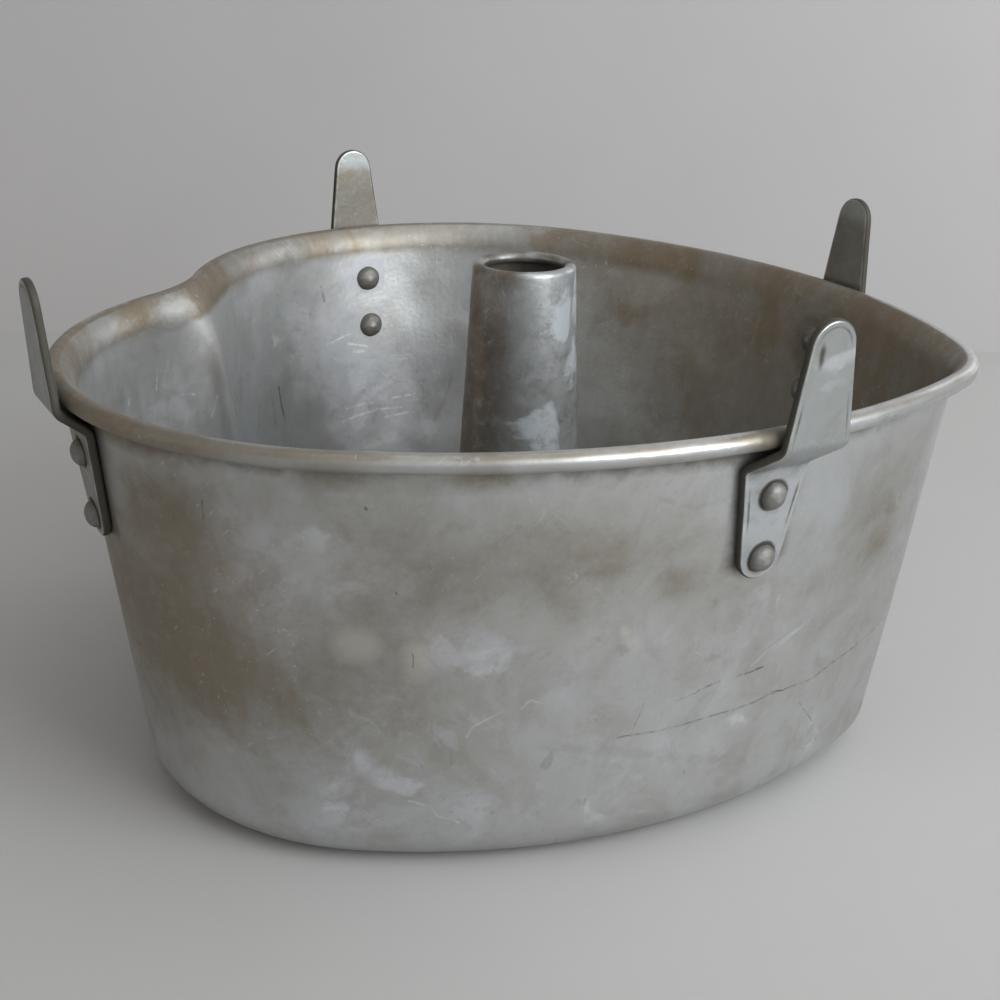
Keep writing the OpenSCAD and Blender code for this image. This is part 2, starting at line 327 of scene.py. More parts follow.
class Corner(Enum):
    """The four places of the legs on the heart."""

    LOBE_LEFT = ("lobe_left", 2, 135.0, 1)
    LOBE_RIGHT = ("lobe_right", 2, 135.0, -1)
    SIDE_LEFT = ("side_left", 1, 44.5, 1)
    SIDE_RIGHT = ("side_right", 1, 44.5, -1)

    def stand(self, heart: HeartOutline) -> tuple[np.ndarray, np.ndarray, np.ndarray]:
        """Place on the bead's middle line, direction out of the pan, and direction along the rim."""
        _, arc, heading, side = self.value
        x, y, r, _, _ = heart.arcs()[arc]
        a = radians(heading)
        out = np.array([cos(a), side * sin(a), 0.0])
        return np.array([x + r * cos(a), side * (y + r * sin(a)), 0.0]), out, np.array([-out[1], out[0], 0.0])

    def settle(self, heart: HeartOutline, local: np.ndarray) -> np.ndarray:
        """Moves points given as outward, along the rim and up to this place on the pan."""
        place, out, along = self.stand(heart)
        return place + local[..., :1] * out + local[..., 1:2] * along + local[..., 2:] * np.array([0, 0, 1.0])


# Finishes

Socket = bpy.types.NodeSocket
Value = Socket | float | tuple


class Wires:
    """Adds nodes to one node tree and joins them."""

    def __init__(self, tree: Tree) -> None:
        """Keeps the tree."""
        self.tree = tree

    @classmethod
    def fresh(cls, owner: Material | bpy.types.World) -> "Wires":
        """Gives a material or world an empty tree of nodes."""
        owner.use_nodes = True
        owner.node_tree.nodes.clear()
        return cls(owner.node_tree)

    def add(self, kind: str, inputs: dict[str | int, Value], output: str | int = 0,
            **settings: object) -> Socket:
        """Adds a node, sets or joins its inputs and gives one of its outputs.

        Args:
            kind: Type of the node.
            inputs: Sockets to join or values to set, by name or number.
            output: The output that is wanted.
            settings: Properties of the node.

        Returns:
            The output socket.
        """
        node = self.tree.nodes.new(kind)
        for name, value in settings.items():
            setattr(node, name, value)
        for key, value in inputs.items():
            if isinstance(value, Socket):
                self.tree.links.new(value, node.inputs[key])
            else:
                node.inputs[key].default_value = value
        return node.outputs[output]

    def math(self, operation: str, a: Value, b: Value = 0.0, clamp: bool = False) -> Socket:
        """One sum, product or other operation on two numbers."""
        return self.add("ShaderNodeMath", {0: a, 1: b}, operation=operation, use_clamp=clamp)

    def times(self, a: Value, b: Value) -> Socket:
        """Product of two numbers."""
        return self.math("MULTIPLY", a, b)

    def plus(self, a: Value, b: Value) -> Socket:
        """Sum of two numbers."""
        return self.math("ADD", a, b)

    def minus(self, a: Value, b: Value) -> Socket:
        """The first number less the second."""
        return self.math("SUBTRACT", a, b)

    def most(self, a: Value, b: Value) -> Socket:
        """The larger of two numbers."""
        return self.math("MAXIMUM", a, b)

    def times_plus(self, a: Value, b: Value, c: Value) -> Socket:
        """The first number times the second, plus the third."""
        return self.add("ShaderNodeMath", {0: a, 1: b, 2: c}, operation="MULTIPLY_ADD")

    def vector(self, operation: str, a: Value, b: Value, output: str | int = 0) -> Socket:
        """One operation on two vectors."""
        return self.add("ShaderNodeVectorMath", {0: a, 1: b}, output=output, operation=operation)

    def above(self, value: Value, level: Value, soft: Value) -> Socket:
        """Rises smoothly from 0 at a level to 1 at soft above it."""
        return self.ramp(value, level, self.plus(level, soft))

    def ramp(self, value: Value, low: Value, high: Value, to_low: Value = 0.0,
             to_high: Value = 1.0) -> Socket:
        """Rises smoothly from to_low at low to to_high at high."""
        inputs = {"Value": value, "From Min": low, "From Max": high, "To Min": to_low, "To Max": to_high}
        return self.add("ShaderNodeMapRange", inputs, interpolation_type="SMOOTHSTEP")

    def noise(self, vector: Value, scale: Value, detail: float = 4.0, rough: float = 0.55,
              distortion: float = 0.0) -> Socket:
        """Fractal noise between 0 and 1."""
        inputs = {"Vector": vector, "Scale": scale, "Detail": detail, "Roughness": rough,
                  "Distortion": distortion}
        return self.add("ShaderNodeTexNoise", inputs)

    def turned(self, vector: Value, stretch: Spot, turn: Spot = (0, 0, 0),
               shift: Spot = (0, 0, 0)) -> Socket:
        """The vector moved, turned by degrees and scaled along each axis."""
        first = self.add("ShaderNodeMapping", {"Vector": vector, "Rotation": tuple(radians(a) for a in turn),
                                               "Location": shift})
        return self.vector("MULTIPLY", first, stretch)

    def tint(self, amount: Value, below: Value, above: Value) -> Socket:
        """Mixes two colours by an amount."""
        return self.add("ShaderNodeMix", {0: amount, 6: below, 7: above}, output=2, data_type="RGBA")

    def over(self, colour: Value, layer: Value, share: Value, above: Value) -> Socket:
        """Lays a colour over another by a layer's amount times a share."""
        return self.tint(self.times(layer, share), colour, above)

    def close(self, result: Socket, output: Socket) -> Tree:
        """Joins a group's result to its output and gives the group."""
        self.tree.links.new(result, output)
        return self.tree

    def end(self, kind: str, shader: Socket) -> None:
        """Joins a shader to the tree's output."""
        self.tree.links.new(shader, self.tree.nodes.new(kind).inputs["Surface"])

    def mask(self, name: str) -> Socket:
        """A mask that the mesh carries."""
        return self.add("ShaderNodeAttribute", {}, output="Fac", attribute_name=name)

    def place(self) -> Socket:
        """Object coordinates."""
        return self.add("ShaderNodeTexCoord", {}, output="Object")


class Effects:
    """Shared surface effects, each a node group that is made once."""

    def __init__(self) -> None:
        """Makes the groups."""
        self.clouds = self._clouds()
        self.scratches = self._scratches()
        self.specks = self._specks()
        self.grain = self._grain()
        self.broken = self._broken()
        self.flecks = self._flecks()
        self.film = self._film()
        self.veins = self._veins()
        self.stroke = self._stroke()

    def use(self, wires: Wires, group: Tree, **inputs: Value) -> Socket:
        """Places a group in a material.

        Args:
            wires: The material's tree.
            group: One of the groups.
            inputs: Its inputs, by name.

        Returns:
            The group's output.
        """
        node = wires.tree.nodes.new("ShaderNodeGroup")
        node.node_tree = group
        for key, value in inputs.items():
            socket = node.inputs[key.replace("_", " ").capitalize()]
            if isinstance(value, Socket):
                wires.tree.links.new(value, socket)
            else:
                socket.default_value = value
        return node.outputs[0]

    @staticmethod
    def _open(name: str, numbers: dict[str, float], output: str,
              vectors: tuple[str, ...] = ()) -> tuple[Wires, dict[str, Socket], Socket]:
        """Starts a group with a Vector and numbers going in and one number coming out."""
        tree = bpy.data.node_groups.new(name, "ShaderNodeTree")
        for key in ("Vector", *vectors):
            tree.interface.new_socket(key, in_out="INPUT", socket_type="NodeSocketVector")
        for key, value in numbers.items():
            socket = tree.interface.new_socket(key, in_out="INPUT", socket_type="NodeSocketFloat")
            socket.default_value = value
        tree.interface.new_socket(output, in_out="OUTPUT", socket_type="NodeSocketFloat")
        inside = tree.nodes.new("NodeGroupInput")
        outside = tree.nodes.new("NodeGroupOutput")
        return Wires(tree), {s.name: s for s in inside.outputs if s.name}, outside.inputs[0]

    def _clouds(self) -> Tree:
        """Oxide clouds: warped noise over a threshold, feathered by finer noise."""
        w, i, out = self._open("oxide clouds", {"Scale": 20.0, "Low": 0.5, "High": 0.7}, "Mask")
        wide = w.noise(i["Vector"], i["Scale"], 6.0, 0.62, 0.6)
        fine = w.noise(i["Vector"], w.times(i["Scale"], 7.0), 3.0, 0.6, 0.3)
        both = w.times_plus(fine, 0.22, wide)
        return w.close(w.ramp(w.minus(both, 0.11), i["Low"], i["High"]), out)

    def _flecks(self) -> Tree:
        """Crisp flakes: very detailed noise cut off sharply, where a wider noise lets it through."""
        w, i, out = self._open("crisp flecks", {"Scale": 110.0, "Cut": 0.6, "Area": 0.5}, "Mask")
        fine = w.noise(i["Vector"], i["Scale"], 9.0, 0.72, 0.8)
        wide = w.above(w.noise(i["Vector"], w.times(i["Scale"], 0.16), 2.0), i["Area"], 0.14)
        cut = w.above(fine, i["Cut"], 0.045)
        return w.close(w.times(cut, wide), out)

    def _film(self) -> Tree:
        """Torn film: warped, very detailed noise above a threshold that a soft mask lowers."""
        w, i, out = self._open("torn film", {"Mask": 0.5, "Scale": 30.0, "Soft": 0.05, "Bare": 0.66}, "Film")
        noise = w.noise(i["Vector"], i["Scale"], 9.0, 0.60, 1.1)
        level = w.minus(i["Bare"], w.times(i["Mask"], 0.27))
        return w.close(w.above(noise, level, i["Soft"]), out)

    def _veins(self) -> Tree:
        """Thin curling lines: where a warped noise crosses its middle, in a few places only."""
        w, i, out = self._open("curling lines", {"Scale": 40.0, "Width": 0.008, "Area": 0.56}, "Mask")
        noise = w.noise(i["Vector"], i["Scale"], 4.0, 0.55, 1.6)
        off = w.math("ABSOLUTE", w.minus(noise, 0.5))
        line = w.ramp(off, i["Width"], w.times(i["Width"], 0.35))
        few = w.above(w.noise(i["Vector"], w.times(i["Scale"], 1.7), 3.0), i["Area"], 0.08)
        return w.close(w.times(line, few), out)

    def _stroke(self) -> Tree:
        """One straight stroke over another mask: it fades with the gap to Start + h Along, h in 0 to 1.

        Its maths has no clamp and no map range, because dozens of those overfill the renderer.
        """
        w, i, out = self._open("stroke", {"Width": 0.5, "Under": 0.0}, "Mask", ("Start", "Along"))
        away = w.vector("SUBTRACT", i["Vector"], i["Start"])
        reach = w.vector("DOT_PRODUCT", away, i["Along"], "Value")
        whole = w.vector("DOT_PRODUCT", i["Along"], i["Along"], "Value")
        share = w.math("MINIMUM", w.most(w.math("DIVIDE", reach, whole), 0.0), 1.0)
        nearest = w.add("ShaderNodeVectorMath", {0: i["Along"], "Scale": share}, operation="SCALE")
        gap = w.vector("DISTANCE", away, nearest, "Value")
        shown = w.times(w.minus(1.0, w.math("DIVIDE", gap, i["Width"])), 1.5)
        return w.close(w.most(w.math("MINIMUM", shown, 1.0), i["Under"]), out)

    def _scratches(self) -> Tree:
        """Short fine scratches: noise drawn out along four directions, only its crests kept."""
        w, i, out = self._open("fine scratches", {"Scale": 1.0, "Amount": 0.5}, "Mask")
        scaled = w.add("ShaderNodeVectorMath", {0: i["Vector"], "Scale": i["Scale"]}, operation="SCALE")
        edge = w.ramp(i["Amount"], 0.0, 1.0, 0.80, 0.66)
        best: Value = 0.0
        for turn, long, shift in (((15, 40, 10), 26, 0.0), ((-35, 65, 80), 18, 0.7), ((70, 10, 130), 34, 1.9),
                                  ((5, 88, 45), 14, 3.1)):
            line = w.noise(w.turned(scaled, (long, 900, 900), turn, (shift, shift, 0)), 1.0, 1.0, 0.4)
            best = w.most(w.above(line, edge, 0.05), best)
        thin = w.ramp(w.noise(scaled, 45.0, 2.0), 0.42, 0.62)
        return w.close(w.times(best, thin), out)

    def _specks(self) -> Tree:
        """Pits and specks: cells whose middle is near, kept in one cell out of a few."""
        w, i, out = self._open("specks", {"Scale": 90.0, "Size": 0.07, "Share": 0.3}, "Mask")
        inputs = {"Vector": i["Vector"], "Scale": i["Scale"]}
        dot = w.add("ShaderNodeTexVoronoi", inputs, output="Distance")
        pick = w.add("ShaderNodeSeparateColor", {"Color": dot.node.outputs["Color"]}, output=0)
        size = w.times(i["Size"], w.ramp(dot.node.outputs["Color"], 0.0, 1.0, 0.5, 1.5))
        near = w.ramp(dot, size, w.times(size, 0.45))
        return w.close(w.times(near, w.math("LESS_THAN", pick, i["Share"])), out)

    def _grain(self) -> Tree:
        """Height of worn sheet metal: broad waves, fine mottle and faint draw marks."""
        w, i, out = self._open("worn sheet", {"Waves": 1.0, "Mottle": 1.0, "Draw": 1.0}, "Height")
        waves = w.times(w.noise(i["Vector"], 32.0, 2.0, 0.5), i["Waves"])
        mottle = w.times(w.noise(i["Vector"], 620.0, 4.0, 0.6), i["Mottle"])
        draw = w.times(w.noise(w.turned(i["Vector"], (700, 700, 22)), 1.0, 2.0, 0.5), i["Draw"])
        return w.close(w.plus(w.plus(waves, mottle), draw), out)

    def _broken(self) -> Tree:
        """Breaks up a soft mask: the mask plus noise, cut off at a threshold."""
        w, i, out = self._open("broken edge", {"Mask": 0.5, "Scale": 60.0, "Tear": 0.6, "Soft": 0.25}, "Mask")
        noise = w.minus(w.noise(i["Vector"], i["Scale"], 5.0, 0.62, 0.4), 0.5)
        raised = w.times_plus(noise, i["Tear"], i["Mask"])
        low, high = w.minus(0.5, i["Soft"]), w.plus(0.5, i["Soft"])
        return w.close(w.ramp(raised, low, high), out)


Colour = tuple[float, float, float, float]


def shade(red: float, green: float, blue: float) -> Colour:
    """A colour in scene values, with full alpha."""
    return (red, green, blue, 1.0)


class Tone(Enum):
    """The colours of the marks on the sheet."""

    DARK = "dark"
    PALE = "pale"
    CREAM = "cream"


class Kind(Enum):
    """What a mark on the sheet is, with its tone and how strongly it shows."""

    SCORE = (Tone.DARK, 0.50)
    CUT = (Tone.DARK, 0.75)
    TIDE = (Tone.DARK, 0.12)
    RUB = (Tone.PALE, 0.80)
    SMEAR = (Tone.PALE, 0.38)
    SPOT = (Tone.CREAM, 0.38)

    @property
    def tone(self) -> Tone:
        """The mark's colour."""
        return self.value[0]

    @property
    def strength(self) -> float:
        """How strongly the mark shows, from 0 to 1."""
        return self.value[1]


class Face(Enum):
    """The face that a mark is on: whether it is inside the pan, and whether on the camera's side."""

    FRONT = (False, True)
    INNER_BACK = (True, False)
    INNER_FRONT = (True, True)


@dataclass(frozen=True)
class Mark:
    """A mark as a chain of straight strokes.

    Its width and its points are in millimetres, each point as the way along the rim from the
    tip and the height.
    """

    face: Face
    kind: Kind
    width: float
    points: Points


def marks_on(face: Face, *rows: tuple[Kind, float, Points]) -> tuple[Mark, ...]:
    """The marks of one face, each given as kind, width and points."""
    return tuple(Mark(face, *row) for row in rows)


MARKS = (
    *marks_on(
        Face.FRONT,
        (Kind.SCORE, 0.34, ((107, 33.4), (95, 33.2), (81.5, 33.8), (69, 33.9), (63, 34.7), (55.5, 34.6))),
        (Kind.SCORE, 0.38, ((55.5, 34.6), (46, 34), (34.5, 36.4), (25, 37.5), (11, 39.6))),
        (Kind.CUT, 0.34, ((62, 35.4), (57, 34.4))),
        (Kind.CUT, 0.40, ((86.5, 42.2), (80.5, 43.3))),
        (Kind.CUT, 0.40, ((74.5, 43.4), (67, 43.7))),
        (Kind.SCORE, 0.26, ((92, 40.6), (86, 41.9))),
        (Kind.TIDE, 0.80, ((105, 93.5), (100, 91.5), (95, 90), (88, 90.7))),
        (Kind.SCORE, 0.24, ((49, 28), (41, 20))),
        (Kind.SCORE, 0.24, ((101, 42), (103.5, 33))),
        (Kind.CUT, 0.45, ((166.2, 93.7), (166, 93.4))),
        (Kind.CUT, 0.36, ((160.1, 74.2), (159.9, 73.9))),
        (Kind.SCORE, 0.26, ((157, 60.2), (156.5, 58), (156.6, 55.8))),
        (Kind.SPOT, 5.5, ((170.5, 60.8), (168, 61))),
        (Kind.SPOT, 4.2, ((156.2, 59), (155.6, 55))),
        (Kind.SPOT, 1.8, ((108.5, 62), (108.2, 61.6))),
        (Kind.SPOT, 2.2, ((106, 58.3), (105.4, 57.5))),
        (Kind.CUT, 0.36, ((86.4, 19.3), (86.2, 18.7))),
        (Kind.SCORE, 0.40, ((203.5, 91), (204, 85.5))),
        (Kind.TIDE, 1.80, ((126, 34), (101, 28), (67, 17))),
        (Kind.SMEAR, 0.45, ((144, 37.6), (142.6, 40.2), (140.6, 41.4), (138.5, 42.6), (136, 44))),
        (Kind.SMEAR, 0.40, ((131.5, 44.2), (130.4, 45.9), (129.3, 46.3), (127, 45.3))),
        (Kind.SMEAR, 0.45, ((157.5, 20), (152.5, 18.4), (150.6, 15.6), (147, 14.9), (145.5, 13.5))),
    ),
    *marks_on(
        Face.INNER_BACK,
        (Kind.RUB, 0.55, ((261, 50), (249.5, 50.6))),
        (Kind.RUB, 0.55, ((263, 46.2), (255.7, 47.2), (247, 47.9), (237.5, 47.7))),
        (Kind.RUB, 0.55, ((244.5, 44.9), (235, 45.8))),
        (Kind.RUB, 0.55, ((241, 51.2), (237.3, 51.4))),
        (Kind.RUB, 0.50, ((235.7, 51.4), (232, 52))),
        (Kind.RUB, 0.50, ((267, 72.2), (256.5, 74))),
        (Kind.RUB, 0.50, ((257.8, 71), (250, 69.4))),
        (Kind.RUB, 0.60, ((255.7, 68), (251.5, 67.8))),
        (Kind.SMEAR, 0.35, ((240, 64.2), (234, 63.9))),
        (Kind.SMEAR, 2.40, ((253.5, 36.8), (241, 38.2))),
    ),
    *marks_on(
        Face.INNER_FRONT,
        (Kind.RUB, 0.45, ((324, 89.5), (322, 84))),
        (Kind.RUB, 0.45, ((332, 80.2), (335.2, 79.2))),
        (Kind.RUB, 0.45, ((341.5, 77), (338.7, 71.6))),
        (Kind.RUB, 0.80, ((308.3, 85), (307.8, 84))),
    ),
    *marks_on(
        Face.INNER_BACK,
        (Kind.CUT, 0.55, ((293.3, 63.4), (293.3, 58.5), (292.5, 53))),
        (Kind.SCORE, 0.45, ((298.4, 63), (298.4, 53))),
        (Kind.SCORE, 0.60, ((267, 90.5), (266.3, 86))),
    ),
)


@dataclass(frozen=True)
class WornAluminium:
    """Old household aluminium: dull metal, milky oxide, brown bake-on and bright worn edges, with painted
    highlights, painted light and painted shade laid on through the same masks and colours.

    The fields are its colours, how rough and how metallic it is, and how strong each effect is.
    """

    name: str
    clean: Colour
    warm: Colour
    oxide: Colour
    bake: Colour
    bright: Colour = shade(0.80, 0.79, 0.76)
    # The grime colour also paints shade, and the bake colour also darkens places painted as standing in
    # shade.
    grime: Colour = shade(0.10, 0.085, 0.065)
    cream: Colour = shade(0.60, 0.585, 0.50)
    rust: Colour = shade(0.235, 0.165, 0.09)
    cloud_low: float = 0.52
    cloud_high: float = 0.74
    rough: float = 0.40
    rough_oxide: float = 0.58
    scratch: float = 0.5
    waves: float = 1.0
    mottle: float = 1.0
    draw: float = 0.4
    flake: float = 0.3
    metal: float = 0.94
    streaky: float = 0.10
    torn: float = 0.55
    torn_scale: float = 26.0
    grimed: float = 0.8
    crusty: float = 0.18
    hang: float = 1.25
    shake: float = 0.7 * MM
    marked: bool = False

    def build(self, effects: Effects) -> Material:
        """Wires the finish.

        The mesh's masks say where it is inside, oxidised, baked brown, worn bright or grimy; they also carry
        painted highlights and painted light (laid on with the bright and oxide colours) and painted shade
        (laid on with the bake and grime colours).

        Args:
            effects: The shared groups.

        Returns:
            The material.
        """
        material = bpy.data.materials.new(self.name)
        w = Wires.fresh(material)
        place = w.place()
        patch = effects.use(w, effects.clouds, vector=place, scale=13.0, low=0.36, high=0.70)
        mottle = w.noise(w.turned(place, (1, 1, 0.8), (20, 10, 0), (0.7, 0.2, 0)), 70.0, 6.0, 0.68, 0.5)
        cloud = effects.use(w, effects.clouds, vector=w.turned(place, (1, 1, 0.75), shift=(0.31, 0.12, 0.4)),
                            scale=24.0, low=self.cloud_low, high=self.cloud_high)
        milk = effects.use(w, effects.broken, vector=w.turned(place, (1.5, 1.5, 1), (0, 25, 0)),
                           mask=w.mask("oxide"), scale=58.0, soft=0.42, tear=1.5)
        baked, grimy, worn = (
            effects.use(w, effects.broken, vector=place, mask=w.mask(name), scale=scale, soft=soft, tear=tear)
            for name, scale, soft, tear in (("baked", 38.0, 0.42, 0.7), ("grimy", 140.0, 0.30, 0.8),
                                            ("worn", 210.0, 0.30, 0.7)))
        scratch = effects.use(w, effects.scratches, vector=place, scale=1.0, amount=self.scratch)
        pits = effects.use(w, effects.specks, vector=place, scale=62.0, size=0.045, share=0.22)
        flake = effects.use(w, effects.flecks, vector=w.turned(place, (1.3, 1.3, 0.8), (0, 35, 0)),
                            scale=150.0, cut=0.555, area=0.50)
        dirt = effects.use(w, effects.flecks, vector=w.turned(place, (1, 1, 0.6), (0, -20, 0), (1.7, 0.3, 0)),
                           scale=110.0, cut=0.59, area=0.47)
        film = effects.use(w, effects.film,
                           vector=w.turned(place, (1, 1, self.hang), (0, 12, 0), (0.4, 0.9, 0.2)),
                           mask=w.mask("oxide"), scale=self.torn_scale, soft=0.10)
        smear = effects.use(w, effects.film,
                            vector=w.turned(place, (1, 1, 0.7), (0, -12, 0), (2.4, 0.1, 1.2)),
                            mask=w.mask("baked"), scale=self.torn_scale * 0.8, soft=0.10, bare=0.70)
        veins = effects.use(w, effects.veins, vector=place, scale=48.0, width=0.010, area=0.60)
        white = w.most(w.times(cloud, 0.34), w.times(milk, 0.42))
        for layer, share in ((film, self.torn), (flake, self.flake)):
            white = w.most(white, w.times(layer, share))
        crust = w.noise(w.turned(place, (1, 1, 1.3), (0, 30, 0), (0.2, 1.1, 0.6)), 190.0, 7.0, 0.74, 0.35)
        rich = w.times(w.ramp(w.most(milk, baked), 0.0, 0.8, 0.35, 1.0), self.crusty)
        colour = w.tint(patch, self.clean, self.warm)
        colour = w.tint(w.ramp(mottle, 0.40, 0.72, 0.0, 0.30), colour, self.bake)
        # The bake layer: brown bake-on, and painted shade where its mask darkens shaded places.
        colour = w.over(colour, baked, 0.78, self.bake)
        colour = w.over(colour, smear, w.ramp(w.mask("inside"), 0.0, 1.0, 0.25, 0.50), self.rust)
        # The oxide layer: milky oxide, and painted light where its mask lightens lit places.
        colour = w.over(colour, white, w.ramp(baked, 0.0, 1.0, 0.85, 0.30), self.oxide)
        streak = w.ramp(w.noise(w.turned(place, (150, 150, 9)), 1.0, 3.0, 0.6), 0.35, 0.75)
        streak = w.times(streak, w.mask("inside"))
        colour = w.over(colour, streak, self.streaky, self.oxide)
        colour = w.over(colour, w.ramp(crust, 0.50, 0.66), w.times(rich, 0.7), self.oxide)
        colour = w.over(colour, w.ramp(crust, 0.50, 0.38), rich, self.bake)
        colour = w.over(colour, dirt, 0.28, self.bake)
        colour = w.over(colour, veins, 0.20, self.bright)
        colour = w.over(colour, scratch, w.ramp(rich, 0.0, 0.2, 0.10, 0.26), self.bright)
        # Bright wear and painted highlights, dark grime and painted shade, then dark pits.
        for layer, share, above in ((worn, 0.7, self.bright), (grimy, self.grimed, self.grime),
                                    (pits, 0.7, self.grime)):
            colour = w.over(colour, layer, share, above)
        dull = w.most(white, w.times(baked, 0.7))
        rough = w.ramp(dull, 0.0, 1.0, self.rough, self.rough_oxide)
        rough = w.plus(rough, w.times(w.minus(patch, 0.5), 0.08))
        rough = w.minus(rough, w.times(w.mask("worn"), 0.22))
        rough = w.math("ADD", rough, w.times(grimy, 0.2), clamp=True)
        metal = w.ramp(w.most(white, w.times(grimy, 0.8)), 0.0, 1.0, self.metal, 0.35)
        height = effects.use(w, effects.grain, vector=place, waves=self.waves, mottle=self.mottle * 0.06,
                             draw=self.draw * 0.05)
        height = w.minus(height, w.times(scratch, 0.02))
        height = w.minus(height, w.times(pits, 0.12))
        if self.marked:
            colour = self._drawn_on(w, effects, place, colour)
        normal = w.add("ShaderNodeBump", {"Height": height, "Strength": 0.5, "Distance": 0.002})
        inputs = {"Base Color": colour, "Roughness": rough, "Metallic": metal, "Normal": normal}
        shader = w.add("ShaderNodeBsdfPrincipled", inputs)
        w.end("ShaderNodeOutputMaterial", shader)
        return material

    def _drawn_on(self, w: Wires, effects: Effects, place: Socket, colour: Socket) -> Socket:
        """Draws the marks, a little shaken and faint in places, over a colour.

        Args:
            w: The material's tree.
            effects: The shared groups.
            place: Object coordinates.
            colour: The colour below the marks.

        Returns:
            The colour with the marks.
        """
        parts = w.add("ShaderNodeSeparateXYZ", {"Vector": place})
        near = w.math("LESS_THAN", parts.node.outputs["Y"], 0.0)
        inside = w.mask("inside")
        flat = w.add("ShaderNodeCombineXYZ", {"X": w.mask("run"), "Y": parts.node.outputs["Z"]})
        shake = w.add("ShaderNodeTexNoise", {"Vector": place, "Scale": 260.0, "Detail": 3.0}, output="Color")
        shake = w.vector("SUBTRACT", shake, (0.5, 0.5, 0.5))
        shaken = w.add("ShaderNodeVectorMath", {0: shake, 1: (self.shake, self.shake, 0.0), 2: flat},
                       operation="MULTIPLY_ADD")
        faint = w.ramp(w.noise(place, 330.0, 3.0), 0.38, 0.58, 0.20, 1.0)
        tones: dict[Tone, Value] = {tone: 0.0 for tone in Tone}
        for mark in MARKS:
            line: Value = 0.0
            for (run, rise), (run_on, rise_on) in zip(mark.points, mark.points[1:]):
                line = effects.use(w, effects.stroke, vector=shaken, start=(run * MM, rise * MM, 0.0),
                                   along=((run_on - run) * MM, (rise_on - rise) * MM, 0.0),
                                   width=mark.width * MM, under=line)
            line = w.times(line, mark.kind.strength)
            for side, wanted in zip((inside, near), mark.face.value):
                line = w.times(line, side if wanted else w.minus(1.0, side))
            tones[mark.kind.tone] = w.most(line, tones[mark.kind.tone])
        colour = w.tint(tones[Tone.CREAM], colour, self.cream)
        for tone, paint in ((Tone.DARK, self.grime), (Tone.PALE, self.bright)):
            colour = w.over(colour, tones[tone], faint, paint)
        return colour


class Finish(Enum):
    """The finishes of the pan."""

    BODY = WornAluminium("pan body", clean=shade(0.53, 0.546, 0.548), warm=shade(0.47, 0.468, 0.452),
                         oxide=shade(0.51, 0.522, 0.572), bake=shade(0.220, 0.190, 0.140),
                         bright=shade(0.72, 0.73, 0.73), rough=0.41, torn=0.60, torn_scale=32.0,
                         scratch=0.48, metal=0.86, marked=True)
    TUBE = WornAluminium("centre tube", clean=shade(0.37, 0.37, 0.365), warm=shade(0.29, 0.27, 0.24),
                         oxide=shade(0.54, 0.59, 0.63), bake=shade(0.13, 0.10, 0.07), rough=0.44,
                         bright=shade(0.55, 0.555, 0.55), cloud_low=0.48, cloud_high=0.70, metal=0.80,
                         torn=0.80, torn_scale=44.0, flake=0.3, crusty=0.32, hang=0.50)
    PLATE = WornAluminium("bottom plate", clean=shade(0.42, 0.41, 0.385), warm=shade(0.30, 0.265, 0.215),
                          oxide=shade(0.55, 0.56, 0.58), bake=shade(0.20, 0.165, 0.115), scratch=0.7)
    LEG = WornAluminium("leg strip", clean=shade(0.39, 0.41, 0.405), warm=shade(0.34, 0.35, 0.335),
                        oxide=shade(0.49, 0.505, 0.53), bake=shade(0.17, 0.15, 0.115),
                        bright=shade(0.62, 0.62, 0.61), grime=shade(0.05, 0.043, 0.03),
                        rough=0.42, rough_oxide=0.50, flake=0.2, metal=0.9,
                        waves=0.35, mottle=0.7, scratch=0.6, draw=0.1, grimed=0.95)
    RIVET = WornAluminium("rivet", clean=shade(0.27, 0.27, 0.26), warm=shade(0.21, 0.20, 0.18),
                          oxide=shade(0.36, 0.365, 0.37), bake=shade(0.13, 0.11, 0.085),
                          bright=shade(0.50, 0.50, 0.495), rough=0.60, rough_oxide=0.66, metal=0.85,
                          flake=0.6, crusty=0.5, waves=0.5, mottle=4.0, draw=0.0)


# Sub-assemblies

@dataclass(frozen=True)
class Patch:
    """A soft round patch of one finish on a wall."""

    x: float
    y: float
    z: float
    reach: float
    amount: float = 1.0

    def over(self, points: np.ndarray) -> np.ndarray:
        """amount exp(-(distance / reach)^2) at each point, all in millimetres."""
        away = np.linalg.norm(points / MM - np.array([self.x, self.y, self.z]), axis=-1)
        return self.amount * hump(away, self.reach)


def spread(patches: tuple[Patch, ...], points: np.ndarray) -> np.ndarray:
    """Sum of the patches at each point, kept between 0 and 1."""
    return np.clip(sum(patch.over(points) for patch in patches), 0, 1)


class Stretch(IntEnum):
    """The stretches of the body's section, from the ledge up to the rolled rim."""

    LEDGE = 0
    CORNER = 1
    WALL = 2
    FLARE = 3
    CURL = 4


